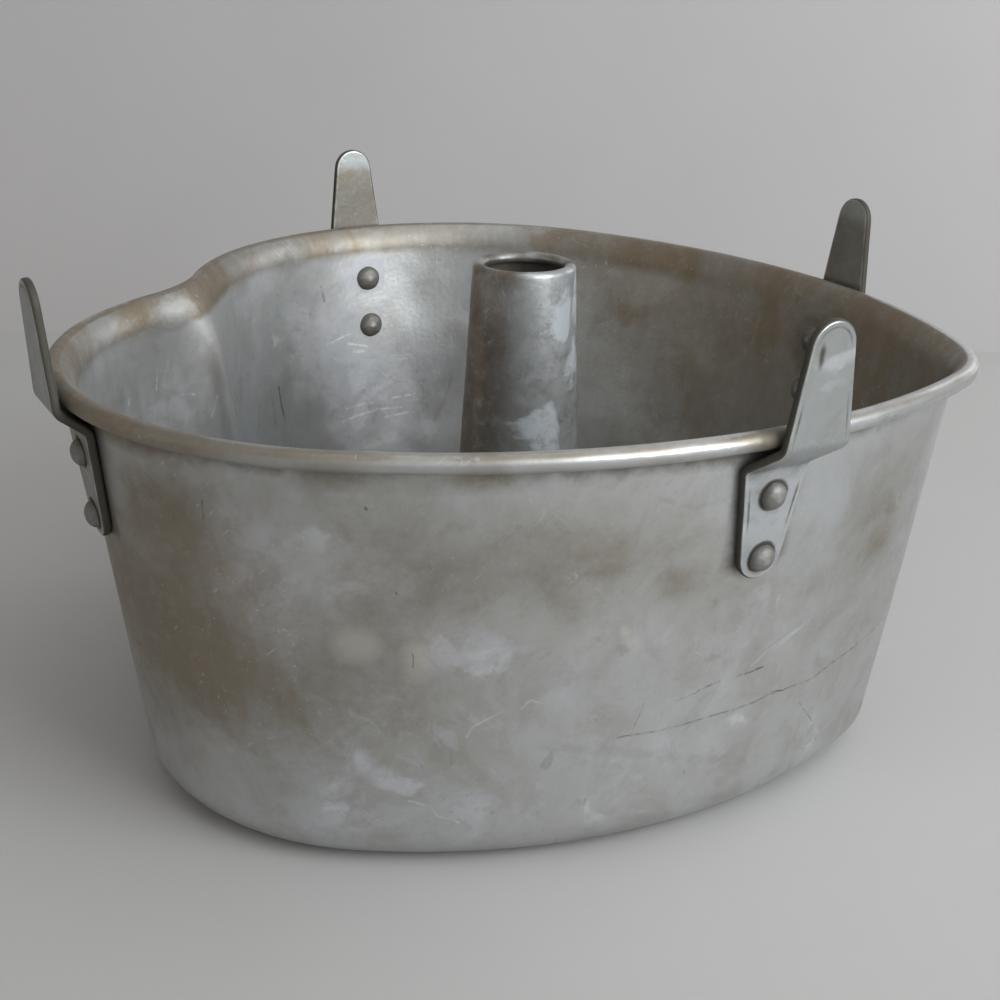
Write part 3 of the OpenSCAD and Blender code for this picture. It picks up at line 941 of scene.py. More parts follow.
@dataclass(frozen=True)
class BodyShell:
    """The heart-shaped body: ledge, foot corner, leaning wall, flare and rolled bead in one sheet."""

    heart: HeartOutline = HeartOutline()
    height: float = 107 * MM
    sheet: float = 1.2 * MM
    wall_lean: float = radians(7.25)
    corner_r: float = 12 * MM
    ledge: float = 6 * MM
    flare_r: float = 10 * MM
    flare_turn: float = 45.0
    curl_end: float = -135.0
    crease_r: float = 10 * MM
    steps: int = 560
    dent: float = 0.35 * MM
    leg_calm: float = 26 * MM
    leg_half: float = 7.5 * MM
    heads_z: float = 88 * MM
    halo: Spot = (-80.4 * MM, 85.1 * MM, 92.6 * MM)
    halo_edge: tuple[float, float] = (6.5 * MM, 4.5 * MM)
    # Oxide patches outside; those on the lower right of the front wall also paint light there.
    outer_oxide: tuple[Patch, ...] = (
        Patch(-35, -106, 81, 13, 0.9), Patch(-30, -104, 66, 14, 0.75), Patch(-19, -105, 82, 9, 0.7),
        Patch(-5, -102, 76, 9, 0.7), Patch(5, -97, 60, 8, 1.0), Patch(15, -94, 58, 7, 0.9),
        Patch(30, -85, 46, 9, 0.55), Patch(-63, -97, 75, 9, 0.6), Patch(-20, -93, 16, 9, 0.7),
        Patch(-4, -91, 17, 9, 0.8), Patch(11, -87, 17, 8, 0.7),
        Patch(43, -77, 60, 9, 0.35), Patch(58, -66, 26, 18, 0.4), Patch(65, -56, 51, 16, 0.28),
        Patch(38, -75, 24, 14, 0.35), Patch(-10, -97, 31, 12, 0.15),
        Patch(40, 82, 60, 26, 0.6), Patch(-60, 100, 48, 26, 0.6), Patch(-104, 40, 66, 24, 0.55),
        Patch(-96, -44, 40, 26, 0.6), Patch(88, 30, 46, 18, 0.5),
    )
    # Bake patches outside; the wide ones on the left also paint shade on that side, and those at the far
    # right darken it as painted shade.
    outer_bake: tuple[Patch, ...] = (
        Patch(-66, -98, 60, 40, 0.30), Patch(-92, -72, 62, 40, 0.50), Patch(-53, -103, 84, 13, 0.5),
        Patch(-49, -100, 46, 11, 0.45), Patch(-34, -104, 58, 44, 0.50), Patch(-8, -101, 52, 26, 0.25),
        Patch(20, -91, 76, 16, 0.25), Patch(30, -88, 84, 14, 0.30), Patch(37, -82, 78, 5.5, 0.38),
        Patch(50, -73, 72, 5, 0.45),
        Patch(30, -86, 68, 5, 0.20), Patch(46, -77, 78, 8, 0.12), Patch(89, -24, 67, 8, 0.30),
        Patch(84, -34, 76, 12, 0.25), Patch(90, -24, 66, 30, 0.30), Patch(94, -21, 84, 12, 0.20),
        Patch(44, -80, 87, 12, 0.32), Patch(-3, -102, 82, 16, 0.28),
        Patch(58, -66, 66, 18, 0.40), Patch(60, 66, 80, 28, 0.5), Patch(-100, 10, 80, 30, 0.5),
        Patch(-20, 104, 84, 26, 0.45),
    )
    # Bake patches inside; on the inner wall towards the tip they also paint shade.
    inner_bake: tuple[Patch, ...] = (
        Patch(84, 30, 92, 36, 0.75), Patch(58, 62, 92, 34, 0.66), Patch(32, 84, 80, 30, 0.42),
        Patch(90, -6, 84, 30, 0.6), Patch(30, 84, 40, 40, 0.42), Patch(70, 30, 40, 36, 0.52),
        Patch(20, -90, 60, 36, 0.35), Patch(96, 0, 98, 30, 0.5), Patch(-57, 95, 49, 16, 0.35),
        Patch(0, 102, 94, 30, 0.50), Patch(-41, 105, 86, 17, 0.34),
    )
    inner_oxide: tuple[Patch, ...] = (
        Patch(-93, -18, 76, 20, 0.45), Patch(-96, -34, 74, 20, 0.35), Patch(-92, 62, 84, 16, 0.5),
        Patch(-77, 81, 46, 26, 0.8), Patch(-84, 74, 70, 16, 0.6), Patch(-62, -92, 58, 34, 0.5),
    )
    # Painted highlights: bright, smoother patches on the inner flare near the cleft and along the back.
    inner_worn: tuple[Patch, ...] = (
        Patch(-97, -10, 100, 12, 0.60), Patch(-96, 62, 103, 14, 0.30), Patch(-84, 83, 103, 18, 0.20),
        Patch(-60, 100, 103, 16, 0.15),
    )
    rim_stains: tuple[Patch, ...] = (
        Patch(66, -71, 106, 5, 1.0), Patch(14, -99, 101, 8, 0.7), Patch(-14, -106, 104, 9, 0.55),
        Patch(-66, -98, 104, 22, 0.6), Patch(-92, -66, 104, 22, 0.6), Patch(46, 86, 106, 14, 0.6),
        Patch(70, 62, 106, 16, 0.7), Patch(-100, -8, 106, 22, 0.5),
    )

    @property
    def bead_z(self) -> float:
        """Height of the bead's middle."""
        return self.height - self.heart.bead_d / 2

    def wall_line(self) -> tuple[np.ndarray, np.ndarray, np.ndarray]:
        """Middle of the flare's arc, top of the wall and middle of the foot's corner."""
        curl, turn, lean = (self.heart.bead_d - self.sheet) / 2, radians(self.flare_turn), self.wall_lean
        flare = np.array([-curl * cos(turn) + self.flare_r * cos(turn),
                          self.bead_z + curl * sin(turn) - self.flare_r * sin(turn)])
        top = flare + self.flare_r * np.array([-cos(lean), sin(lean)])
        foot_r = self.corner_r - self.sheet / 2
        foot_z = self.sheet / 2 + foot_r * (1 - sin(lean))
        foot = np.array([top[0] - (top[1] - foot_z) * tan(lean) - foot_r * cos(lean),
                         foot_z + foot_r * sin(lean)])
        return flare, top, foot

    def wall_face(self, z: float) -> float:
        """How far the wall's outer face lies outward of the bead's middle at a height."""
        _, top, _ = self.wall_line()
        return top[0] + self.sheet / 2 / cos(self.wall_lean) - (top[1] - z) * tan(self.wall_lean)

    def middle(self) -> tuple[np.ndarray, np.ndarray]:
        """Middle line of the sheet from the ledge to the end of the curl.

        Returns:
            Rows of place and direction, and the Stretch of each row.
        """
        flare, top, foot = self.wall_line()
        lean = np.degrees(self.wall_lean)
        inner = np.array([foot[0] - self.ledge, self.sheet / 2])
        corner = bend(tuple(foot), self.corner_r - self.sheet / 2, -90, -lean, 9)
        flared = bend(tuple(flare), self.flare_r, 180 - lean, 180 - self.flare_turn, 10)
        curl_r = (self.heart.bead_d - self.sheet) / 2
        curl = bend((0.0, self.bead_z), curl_r, 180 - self.flare_turn, self.curl_end, 26)
        ledge = np.vstack([np.r_[inner, 1.0, 0.0], straight(inner, corner[0], 4)])
        wall = straight(corner[-1], flared[0], 24)
        parts = (ledge, corner, wall, flared, curl[1:])
        stretch = np.concatenate([np.full(len(part), kind) for kind, part in zip(Stretch, parts)])
        return np.vstack(parts), stretch

    def dented(self, points: np.ndarray) -> np.ndarray:
        """Moves the wall in and out by a sum of long waves, fading at the foot, rim and legs.

        Args:
            points: Array of steps x section x 3.

        Returns:
            The points, moved along the outward direction by the dent times the waves.
        """
        _, way, run = self.heart.walk(self.steps)
        turn = 2 * pi * run / (run[-1] + run[1])
        z = points[..., 2]
        wave = (0.40 * np.sin(3 * turn + 0.7)[:, None] * np.sin(z / MM / 21 + 0.4)
                + 0.32 * np.sin(7 * turn + 2.1)[:, None] * np.sin(z / MM / 33 + 1.2)
                + 0.20 * np.sin(13 * turn + 4.0)[:, None] + 0.15 * np.sin(23 * turn + 1.0)[:, None])
        fade = smooth_step(z, 0.016, 0.040) * (1 - 0.45 * smooth_step(z, 0.090, 0.104))
        for corner in Corner:
            place, _, _ = corner.stand(self.heart)
            away = np.hypot(points[..., 0] - place[0], points[..., 1] - place[1])
            fade = fade * (1 - hump(away, self.leg_calm))
        moved = points.copy()
        moved[..., :2] += (self.dent * wave * fade)[..., None] * way[:, None, :]
        return moved

    def creased(self, points: np.ndarray, section: np.ndarray) -> np.ndarray:
        """Draws the wall's cleft tighter than the rim's: each point moves along X to the tighter circle.

        The move fades out towards the rim and the foot.

        Args:
            points: Array of steps x section x 3.
            section: Rows of outward place, height and side of the sheet.

        Returns:
            The moved points.
        """
        inset = -section[None, :, 0]
        tight = self.crease_r - self.sheet / 2 * section[None, :, 2]
        y, z = points[..., 1], section[None, :, 1]
        loose = self.heart.cleft_x(y, inset, self.heart.cleft_r + inset)
        move = self.heart.cleft_x(y, inset, tight + 0 * y) - loose
        fade = smooth_step(z, 0.018, 0.045) * smooth_step(z, 0.1045, 0.088)
        moved = points.copy()
        moved[..., 0] += np.where(points[..., 0] < 0, np.clip(move, 0, None), 0.0) * fade
        return moved

    def leg_grime(self, points: np.ndarray, z: np.ndarray, inside: np.ndarray) -> np.ndarray:
        """Painted shadow beside each leg outside, and grime round the heads of its rivets inside.

        Args:
            points: Array of steps x section x 3.
            z: Height of each point of the section.
            inside: 1 on the pan's inner face.

        Returns:
            How dark each point is painted: shadow beside the legs and grime round the heads.
        """
        grimy = np.zeros(points.shape[:2])
        for corner in Corner:
            stand, out, along = corner.stand(self.heart)
            off = points - stand
            side, close = np.abs(off @ along), smooth_step(off @ out, -0.03, -0.02)
            # Painted shadow along both sides of the strip, where it stands off the wall.
            beside = hump(np.clip(side - self.leg_half, 0, None), 2.2 * MM) * close
            beside = beside * smooth_step(z, 0.068, 0.074)[None] * (1 - inside)
            heads = np.exp(-((side / (9 * MM)) ** 2 + ((z - self.heads_z) / (11 * MM)) ** 2)) * close
            heads = (0.62 if corner is Corner.SIDE_LEFT else 0.22) * heads * inside
            grimy = np.maximum(grimy, np.maximum(0.62 * beside, heads))
        return grimy

    def surface(self) -> Surface:
        """The sheet's closed section carried round the heart, with its masks."""
        line, stretch = self.middle()
        section = sheet_section(line, self.sheet / 2)
        cap = (len(section) - 2 * len(line)) // 2
        part = np.r_[stretch, np.full(cap, Stretch.CURL), stretch[::-1], np.full(cap, Stretch.LEDGE)]
        points = self.dented(self.creased(self.heart.carry(section, self.steps), section))
        right, z = section[:, 2], section[:, 1]
        corner, flare, curl = (flag(part == kind)[None]
                               for kind in (Stretch.CORNER, Stretch.FLARE, Stretch.CURL))
        ledge = part == Stretch.LEDGE
        inside = np.where(part < Stretch.CURL, smooth_step(-right, -0.2, 0.2), 0.0)
        inside = np.maximum(inside, curl[0] * smooth_step(-section[:, 0], 0.2 * MM, 1.4 * MM))
        inside[ledge] = flag(right[ledge] < 0)
        grid = np.ones((self.steps, 1))
        inside = grid * inside[None]
        place = self.heart.walk(self.steps)[2][:, None]
        from_tip = np.minimum(place, self.heart.length_round() - place) + 0 * z
        patchy = 0.5 + 0.25 * np.sin(place / 0.043) + 0.25 * np.sin(place / 0.019 + 1.3)
        round_bead = np.degrees(np.arctan2(z - self.bead_z, section[:, 0]))
        skin = curl[0] * (np.hypot(section[:, 0], z - self.bead_z) > 1.5 * MM)

        def band(angle: float, reach: float) -> np.ndarray:
            """A band round the outside of the bead: exp(-((angle round it - angle) / reach)^2)."""
            return (skin * hump(round_bead - angle, reach))[None]

        # Bright bands on the bead's crown and lower outer face, and on the front of the inner flare's top:
        # partly rub wear, partly painted highlights.
        rubbed = (0.5 + 0.24 * np.sin(place / 0.031 + 0.8) + 0.16 * np.sin(place / 0.0083)
                  + 0.1 * np.sin(place / 0.0029))
        worn = band(84, 30) * (0.20 + 0.70 * rubbed * patchy) + band(5, 18) * 0.60 * rubbed
        flare_top = smooth_step(z, self.bead_z - 8 * MM, self.bead_z)[None]
        front = smooth_step(points[..., 1], 0.10, 0.02)
        worn = np.maximum(worn, 0.20 * grid * flare * inside * flare_top * (0.4 + patchy) * front)
        # Painted shade in a band just under the bead outside, broken up like grime.
        under = hump(z - (self.bead_z - 3.4 * MM), 2.6 * MM) * flag(part <= Stretch.FLARE)
        grimy = grid * under[None] * (1 - inside) * (0.30 + 0.5 * patchy)
        # Painted shade in the slot between the curl's end and the wall.
        slot = curl[0] * ((section[:, 0] < 0.4 * MM) & (z < self.bead_z))
        grimy = np.maximum(grimy, grid * slot[None] * 0.8)
        # Painted contact shadow along the outer foot next to the table; the inner foot corner is darker too.
        grimy = np.maximum(grimy, grid * 0.35 * corner * (1 - inside) * smooth_step(-z, -4 * MM, 0)[None])
        grimy = np.maximum(grimy, grid * 0.55 * corner * inside)
        grimy = np.maximum(grimy, self.leg_grime(points, z, inside))
        oxide = np.where(inside > 0.5, spread(self.inner_oxide, points), spread(self.outer_oxide, points))
        baked = np.where(inside > 0.5, spread(self.inner_bake, points), spread(self.outer_bake, points))
        low = smooth_step(z, 0.05, 0.0)[None] * 0.25
        back = smooth_step(points[..., 1] - 0.5 * points[..., 0], 0.0, 0.09)
        # Brown on the bead, and a dark band between its bright bands that is partly bake and partly painted
        # shade.
        bead = curl * (0.12 + 0.50 * smooth_step(points[..., 0], 0.0, -0.075) + 0.3 * back)
        bead = bead + band(46, 20) * (0.25 + 0.65 * (1 - rubbed))
        brown = flare * inside * (0.26 + 0.58 * back + 0.30 * back * smooth_step(points[..., 0], -0.03, 0.05))
        stains = spread(self.rim_stains, points) * (part >= Stretch.FLARE)[None]
        worn = worn * (1 - 0.7 * np.clip(stains, 0, 1))
        # Painted highlights on the inner flare.
        worn = np.maximum(worn, spread(self.inner_worn, points) * inside * flare)
        baked = np.clip(baked + inside * low + bead * (0.5 + patchy) + brown * (0.4 + patchy) + stains, 0, 1)
        grimy = np.maximum(grimy, 0.75 * np.clip(stains - 0.35, 0, 1))
        halo = np.abs(points - np.array(self.halo)).max(axis=-1)
        oxide = np.maximum(oxide, 1.3 * smooth_step(halo, *self.halo_edge) * inside)
        masks = {"inside": inside, "worn": worn, "grimy": grimy, "oxide": oxide, "baked": baked,
                 "run": from_tip}
        return grid_surface(points, True, masks)

    def build(self, finishes: dict[Finish, Material]) -> None:
        """Makes the body and lets it stand for its node."""
        piece = make_piece("body_shell", self.surface(), finishes[Finish.BODY])
        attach(piece, "pan")
        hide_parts("pan_shell")


def full_masks(points: np.ndarray, **values: np.ndarray | float) -> Masks:
    """The five masks of a finish over a grid of points, 0 where none is given."""
    shape = points.shape[:2]
    masks = {name: np.zeros(shape) for name in ("inside", "worn", "grimy", "oxide", "baked")}
    masks.update({name: np.broadcast_to(value, shape).astype(float) for name, value in values.items()})
    return masks


@dataclass(frozen=True)
class Insert:
    """The lift-out bottom plate and the tapered tube that stands on it."""

    shell: BodyShell = BodyShell()
    plate: float = 1.5 * MM
    gap: float = 0.6 * MM
    tube_x: float = -5 * MM
    tube_top: float = 121 * MM
    foot_r: float = 19 * MM
    top_r: float = 13.2 * MM
    sheet: float = 1.2 * MM
    lip_d: float = 3 * MM
    flange: float = 5 * MM
    foot_bend: float = 3 * MM
    edge: float = 0.4 * MM
    face_steps: int = 30
    edge_steps: int = 5

    def tube_line(self) -> np.ndarray:
        """Middle line of the tube's sheet: flange, bend, wall and rolled lip."""
        half, base = self.sheet / 2, self.shell.sheet + self.plate
        lip_z = self.tube_top - self.lip_d / 2
        lean = atan2(self.foot_r - self.top_r, lip_z - base)
        top = np.array([self.top_r - half / cos(lean), lip_z])
        corner = (self.foot_r - half / cos(lean) + self.foot_bend * cos(lean)
                  - (half + self.foot_bend * (1 - sin(lean))) * tan(lean), base + half + self.foot_bend)
        curl = (self.lip_d - self.sheet) / 2
        lip = top - curl * np.array([cos(lean), sin(lean)])
        start = np.array([corner[0] + self.flange, base + half])
        turn = bend(corner, self.foot_bend, -90, -180 + np.degrees(lean), 8)
        roll = bend(tuple(lip), curl, np.degrees(lean), 225, 16)
        return np.vstack([np.r_[start, -1.0, 0.0], straight(start, turn[0], 4), turn,
                          straight(turn[-1], roll[0], 24), roll])

    def tube(self, steps: int = 112) -> Surface:
        """The tube's closed section turned about its axis: (x + r cos a, r sin a, z)."""
        section = sheet_section(self.tube_line(), self.sheet / 2)
        angle = 2 * pi * np.arange(steps)[:, None] / steps
        r, z = section[None, :, 0], section[None, :, 1]
        uneven = np.sin(2 * angle + z / 0.03)
        r = r + 0.12 * MM * uneven * smooth_step(z, 0.02, 0.05) * smooth_step(z, 0.121, 0.10)
        points = np.stack([self.tube_x + r * np.cos(angle), r * np.sin(angle), z + 0 * angle], axis=-1)
        side = section[None, :, 2] + 0 * angle
        hollow = flag(side < 0)
        lip = smooth_step(z, self.tube_top - 3.2 * MM, self.tube_top - 0.8 * MM) + 0 * angle

        def facing(heading: float, reach: float) -> np.ndarray:
            """exp(-(angle away from heading / reach)^2), all round the tube."""
            away = (angle - radians(heading) + pi) % (2 * pi) - pi
            return hump(away, radians(reach))

        baked = np.clip(1.15 * facing(216, 54) * smooth_step(z, 0.124, 0.104) + 0.25 * facing(80, 50)
                        + 0.3 * smooth_step(z, 0.04, 0.0), 0, 1)
        baked = np.maximum(baked, 0.85 * hollow * (1 - 0.4 * lip))
        # Oxide on the right; its narrow band near the right edge is a painted highlight, and the rest is
        # partly painted light.
        oxide = 0.62 * facing(325, 66) + 0.25 * facing(350, 24) + 0.5 * facing(100, 45)
        crust = lip * (0.45 + 0.25 * np.sin(3 * angle + 1.0) + 0.2 * np.sin(7 * angle))
        neck = hump(z - self.tube_top + 4.5 * MM, 1.2 * MM) * (1 - hollow)
        masks = full_masks(points, worn=0.5 * lip * (1 - hollow) * (1 - crust),
                           oxide=oxide * (1 - hollow) + 0 * z,
                           baked=np.clip(baked + 0.9 * crust + 0.35 * neck, 0, 1), inside=hollow,
                           grimy=0.5 * smooth_step(z, 0.008, 0.003) + 0.5 * lip * hollow + 0.35 * crust)
        return grid_surface(points, True, masks)

    def bottom(self, steps: int = 360) -> Surface:
        """The plate between the tube's bore and the heart, with rounded edges.

        Each point lies on the line from the bore's circle to the heart's edge: (1 - t) bore + t heart.
        """
        _, _, foot = self.shell.wall_line()
        inset = -foot[0] + self.gap
        place, way, _ = self.shell.heart.walk(steps)
        rim = place - inset * way
        heading = np.arctan2(rim[:, 1], rim[:, 0] - self.tube_x)
        bore = np.c_[self.tube_x + (self.foot_r - self.sheet) * np.cos(heading),
                     (self.foot_r - self.sheet) * np.sin(heading)]
        low, high, e = self.shell.sheet, self.shell.sheet + self.plate, self.edge
        n, m = self.face_steps, self.edge_steps
        arc = np.linspace(0, pi / 2, m)
        inward = (rim - bore) / np.linalg.norm(rim - bore, axis=1)[:, None]
        t = np.r_[np.linspace(0, 1, n), np.ones(2 * m), np.linspace(1, 0, n), np.zeros(2 * m)]
        trim = np.r_[np.linspace(e, -e, n), -e * (1 - np.sin(arc)), -e * (1 - np.cos(arc)),
                     np.linspace(-e, e, n), e * (1 - np.sin(arc)), e * (1 - np.cos(arc))]
        level = np.r_[np.full(n, high), high - e * (1 - np.cos(arc)), low + e * (1 - np.sin(arc)),
                      np.full(n, low), low + e * (1 - np.cos(arc)), high - e * (1 - np.sin(arc))]
        xy = bore[:, None] * (1 - t[None, :, None]) + rim[:, None] * t[None, :, None]
        xy = xy + trim[None, :, None] * inward[:, None]
        points = np.concatenate([xy, np.broadcast_to(level[None, :, None], (*xy.shape[:2], 1))], axis=-1)
        grimy = smooth_step(t, 0.90, 1.0) * 0.55 + smooth_step(t, 0.12, 0.0) * 0.4
        masks = full_masks(points, grimy=grimy[None] + 0 * points[..., 0], baked=0.42 + 0 * points[..., 0],
                           oxide=0.4 * hump(points[..., 0] + 0.03, 0.05))
        return grid_surface(points, True, masks)

    def build(self, finishes: dict[Finish, Material]) -> None:
        """Makes plate and tube and lets them stand for their nodes."""
        for name, node, surface, finish in (("bottom_plate", "base_plate", self.bottom(), Finish.PLATE),
                                            ("tapered_tube", "centre_tube", self.tube(), Finish.TUBE)):
            piece = make_piece(name, surface, finishes[finish])
            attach(piece, "insert")
            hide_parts(node)


# How brown and dark each leg is: behind, in front on the tongue, and in front on the riveted end; partly bake
# stains, partly painted shade that darkens some legs more than others
LEG_BAKE: dict[Corner, Spot] = {
    Corner.SIDE_LEFT: (0.75, 0.2, 0.2),
    Corner.SIDE_RIGHT: (0.4, 0.05, 0.0),
    Corner.LOBE_LEFT: (0.85, 0.3, 0.3),
    Corner.LOBE_RIGHT: (0.3, 0.40, 0.85),
}


@dataclass(frozen=True)
class CoolingLegs:
    """Four bent strips riveted under the rim, which carry the pan when it cools upside down."""

    shell: BodyShell = BodyShell()
    thick: float = 2 * MM
    width: float = 17.5 * MM
    tip_r: float = 6 * MM
    rise: float = 23.5 * MM
    tongue_lean: float = radians(4)
    end_r: float = 5.7 * MM
    below: float = 5.5 * MM
    rim_gap: float = 0.8 * MM
    step_turn: float = radians(52)
    bent_shift: float = 4.5 * MM
    bend_r: float = 2 * MM
    rivet_drop: float = 16 * MM
    rivet_pitch: float = 15 * MM
    seat_gap: float = 0.1 * MM
    edge: float = 0.7 * MM
    outline_points: int = 420
    face_steps: int = 18
    edge_steps: int = 6

    def rivet_heights(self) -> tuple[float, float]:
        """Heights of the upper and the lower rivet."""
        upper = self.shell.height - self.rivet_drop
        return upper, upper - self.rivet_pitch

    def middle(self) -> tuple[np.ndarray, float, float]:
        """Middle line of the strip as rows of outward place, height and direction.

        Returns:
            The rows, the height at which the step starts and the height at which it ends.
        """
        half, lean, step, tongue = self.thick / 2, self.shell.wall_lean, self.step_turn, self.tongue_lean
        radius = self.bend_r + half
        base = self.shell.wall_face(0) + (self.seat_gap + half) / cos(lean)
        reach = self.shell.heart.bead_d / 2 + self.rim_gap + half
        turn, mean = (step - tongue) / 2, (step + tongue) / 2
        top = np.array([0, self.shell.bead_z]) + reach / cos(turn) * square_to(mean)
        foot_z = (top[0] - top[1] * tan(step) - base) / (tan(lean) - tan(step))
        foot = np.array([base + foot_z * tan(lean), foot_z])
        start = foot - radius * tan((step - lean) / 2) * up_along(lean)
        end = top + radius * tan(turn) * up_along(tongue)
        low_z = self.rivet_heights()[1] - self.below - 1 * MM
        high_z = self.shell.height + self.rise + 1 * MM
        low = np.array([base + low_z * tan(lean), low_z])
        high = np.array([top[0] + (high_z - top[1]) * tan(tongue), high_z])
        c0, c1 = start + radius * square_to(lean), end - radius * square_to(tongue)
        first = bend(tuple(c0), radius, 180 - np.degrees(lean), 180 - np.degrees(step), 12)
        second = bend(tuple(c1), radius, -np.degrees(step), -np.degrees(tongue), 12)
        rows = np.vstack([np.r_[low, up_along(lean)], first, second, np.r_[high, up_along(tongue)]])
        return rows, foot_z, float(top[1])

    def outline(self, shift: float) -> np.ndarray:
        """Outline of the strip seen from outside, as rows of place along the rim and height.

        Two round ends joined by straight edges that touch them and meet at the step's corners.

        Args:
            shift: How far the tongue is bent sideways.

        Returns:
            Evenly spaced points with softly rounded corners.
        """
        _, foot_z, top_z = self.middle()
        tip_z = self.shell.height + self.rise - self.tip_r
        end_z = self.rivet_heights()[1] - self.below + self.end_r

        def touch(up: float, r: float) -> float:
            """Angle at which an edge from half the width, up above the circle, touches it."""
            return atan2(up, self.width / 2) + (-1 if up > 0 else 1) * acos(r / hypot(self.width / 2, up))

        tip_side, end_side = touch(top_z - tip_z, self.tip_r), touch(foot_z - end_z, self.end_r)
        low = np.linspace(-pi - end_side, end_side, 60)
        high = np.linspace(tip_side, pi - tip_side, 60)
        w = self.width / 2
        corners = np.vstack([
            np.c_[self.end_r * np.cos(low), end_z + self.end_r * np.sin(low)],
            [[w, foot_z], [w + shift, top_z]],
            np.c_[shift + self.tip_r * np.cos(high), tip_z + self.tip_r * np.sin(high)],
            [[shift - w, top_z], [-w, foot_z]],
        ])
        closed = np.vstack([corners, corners[:1]])
        run = np.r_[0, np.cumsum(np.hypot(*np.diff(closed, axis=0).T))]
        even = np.linspace(0, run[-1], self.outline_points + 1)[:-1]
        points = np.c_[np.interp(even, run, closed[:, 0]), np.interp(even, run, closed[:, 1])]
        for _ in range(4):
            points = (np.roll(points, 1, axis=0) + 2 * points + np.roll(points, -1, axis=0)) / 4
        return points

    def surface(self, corner: Corner, shift: float) -> Surface:
        """The strip: from its spine over the outer face, round the edge and back on the inner face.

        A flat point (a, h) and a distance d through the strip become (x(h) + d n, a, h + d m), with
        x, n and m read from the middle line at height h.

        Args:
            corner: Where the leg stands.
            shift: How far the tongue is bent sideways.

        Returns:
            The closed strip with its masks.
        """
        flat = self.outline(shift)
        ahead = np.roll(flat, -1, axis=0) - np.roll(flat, 1, axis=0)
        inward = np.c_[-ahead[:, 1], ahead[:, 0]] / np.linalg.norm(ahead, axis=1)[:, None]
        rows, foot_z, top_z = self.middle()
        tip_z, end_z = flat[:, 1].max() - self.tip_r, flat[:, 1].min() + self.end_r
        spine_z = np.clip(flat[:, 1], end_z, tip_z)
        spine = np.c_[np.interp(spine_z, [foot_z, top_z], [0, shift]), spine_z]
        e, half, n, m = self.edge, self.thick / 2, self.face_steps, self.edge_steps
        arc = np.linspace(0, pi / 2, m)
        over = 1 - (1 - np.linspace(0, 1, n + 1)[:-1]) ** 1.7
        share = np.r_[over, np.ones(2 * m), over[::-1]]
        trim = np.r_[np.full(n, e), e * (1 - np.sin(arc)), e * (1 - np.cos(arc)), np.full(n, e)]
        through = np.r_[np.full(n, half), half - e * (1 - np.cos(arc)), -half + e * (1 - np.sin(arc)),
                        np.full(n, -half)]
        outer = flat[:, None] + trim[None, :, None] * inward[:, None]
        place = spine[:, None] * (1 - share[None, :, None]) + outer * share[None, :, None]
        height = place[..., 1]
        x, way_x, way_z = (np.interp(height, rows[:, 1], rows[:, k]) for k in (0, 2, 3))
        tilt = np.arctan2(way_x, way_z)
        local = np.stack([x + through * np.cos(tilt), place[..., 0], height - through * np.sin(tilt)],
                         axis=-1)
        points = corner.settle(self.shell.heart, local)
        from_edge = np.linalg.norm(place - flat[:, None], axis=-1)
        # Along the rounded edges: a bright line, partly wear and partly painted highlight; a dark line 1.5 mm
        # in and dark cut faces, painted shade with some grime.
        rim = hump(from_edge - 0.55 * MM, 0.55 * MM)
        cut = hump(from_edge, 0.45 * MM) * (np.abs(through[None]) < half - 0.1 * MM)
        line = hump(from_edge - 1.5 * MM, 0.40 * MM) * (0.6 + 0.4 * np.sin(height / 0.0034 + 1.0))
        near_step = hump(height - foot_z, 5 * MM)
        back = flag(through[None] < 0) + 0 * height
        # Painted shade on the back face low down, where it lies against the wall; darker round the step.
        grimy = 0.55 * back * smooth_step(height, 0.112, 0.100) + 0.30 * near_step
        grimy = np.maximum(grimy, np.maximum(0.95 * cut, 0.62 * line * (1 - back)))
        # Painted contact shade in a ring round each rivet head.
        for z in self.rivet_heights():
            ring = np.hypot(place[..., 0], height - z)
            grimy = np.maximum(grimy, 0.80 * hump(ring - 3.3 * MM, 0.7 * MM))
        scuff = 0.8 * np.exp(-(((place[..., 0] - shift + 3 * MM) / (1.0 * MM)) ** 2
                               + ((height - 0.1235) / (3.2 * MM)) ** 2)) * (1 - back)
        grimy = np.maximum(grimy, scuff if shift else 0.4 * scuff)
        chipped = 0.5 + 0.5 * np.sin(height / 0.0034 + 2.0) * np.sin(height / 0.0013)
        behind, front, tang = LEG_BAKE[corner]
        below = smooth_step(height, 0.105, 0.098)
        # The riveted end's front is lightened with oxide, partly painted light; the bake amounts darken some
        # legs as painted shade.
        masks = {"inside": 0 * back, "worn": (0.25 + 0.35 * chipped) * rim, "grimy": grimy,
                 "oxide": (0.25 + 0.6 * smooth_step(height, 0.100, 0.094)) * (1 - back),
                 "baked": (1 - back) * (front * (1 - below) + tang * below)
                 + back * behind * smooth_step(height, 0.129, 0.122)}
        turned = {name: value.T for name, value in masks.items()}
        return grid_surface(points.transpose(1, 0, 2), False, turned)

    def build(self, finishes: dict[Finish, Material]) -> None:
        """Makes the four legs and lets each stand for its node."""
        for corner in Corner:
            shift = self.bent_shift if corner is Corner.SIDE_RIGHT else 0.0
            name = corner.value[0]
            piece = make_piece(f"strip_{name}", self.surface(corner, shift), finishes[Finish.LEG])
            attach(piece, "pan")
            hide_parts(f"leg_{name}")


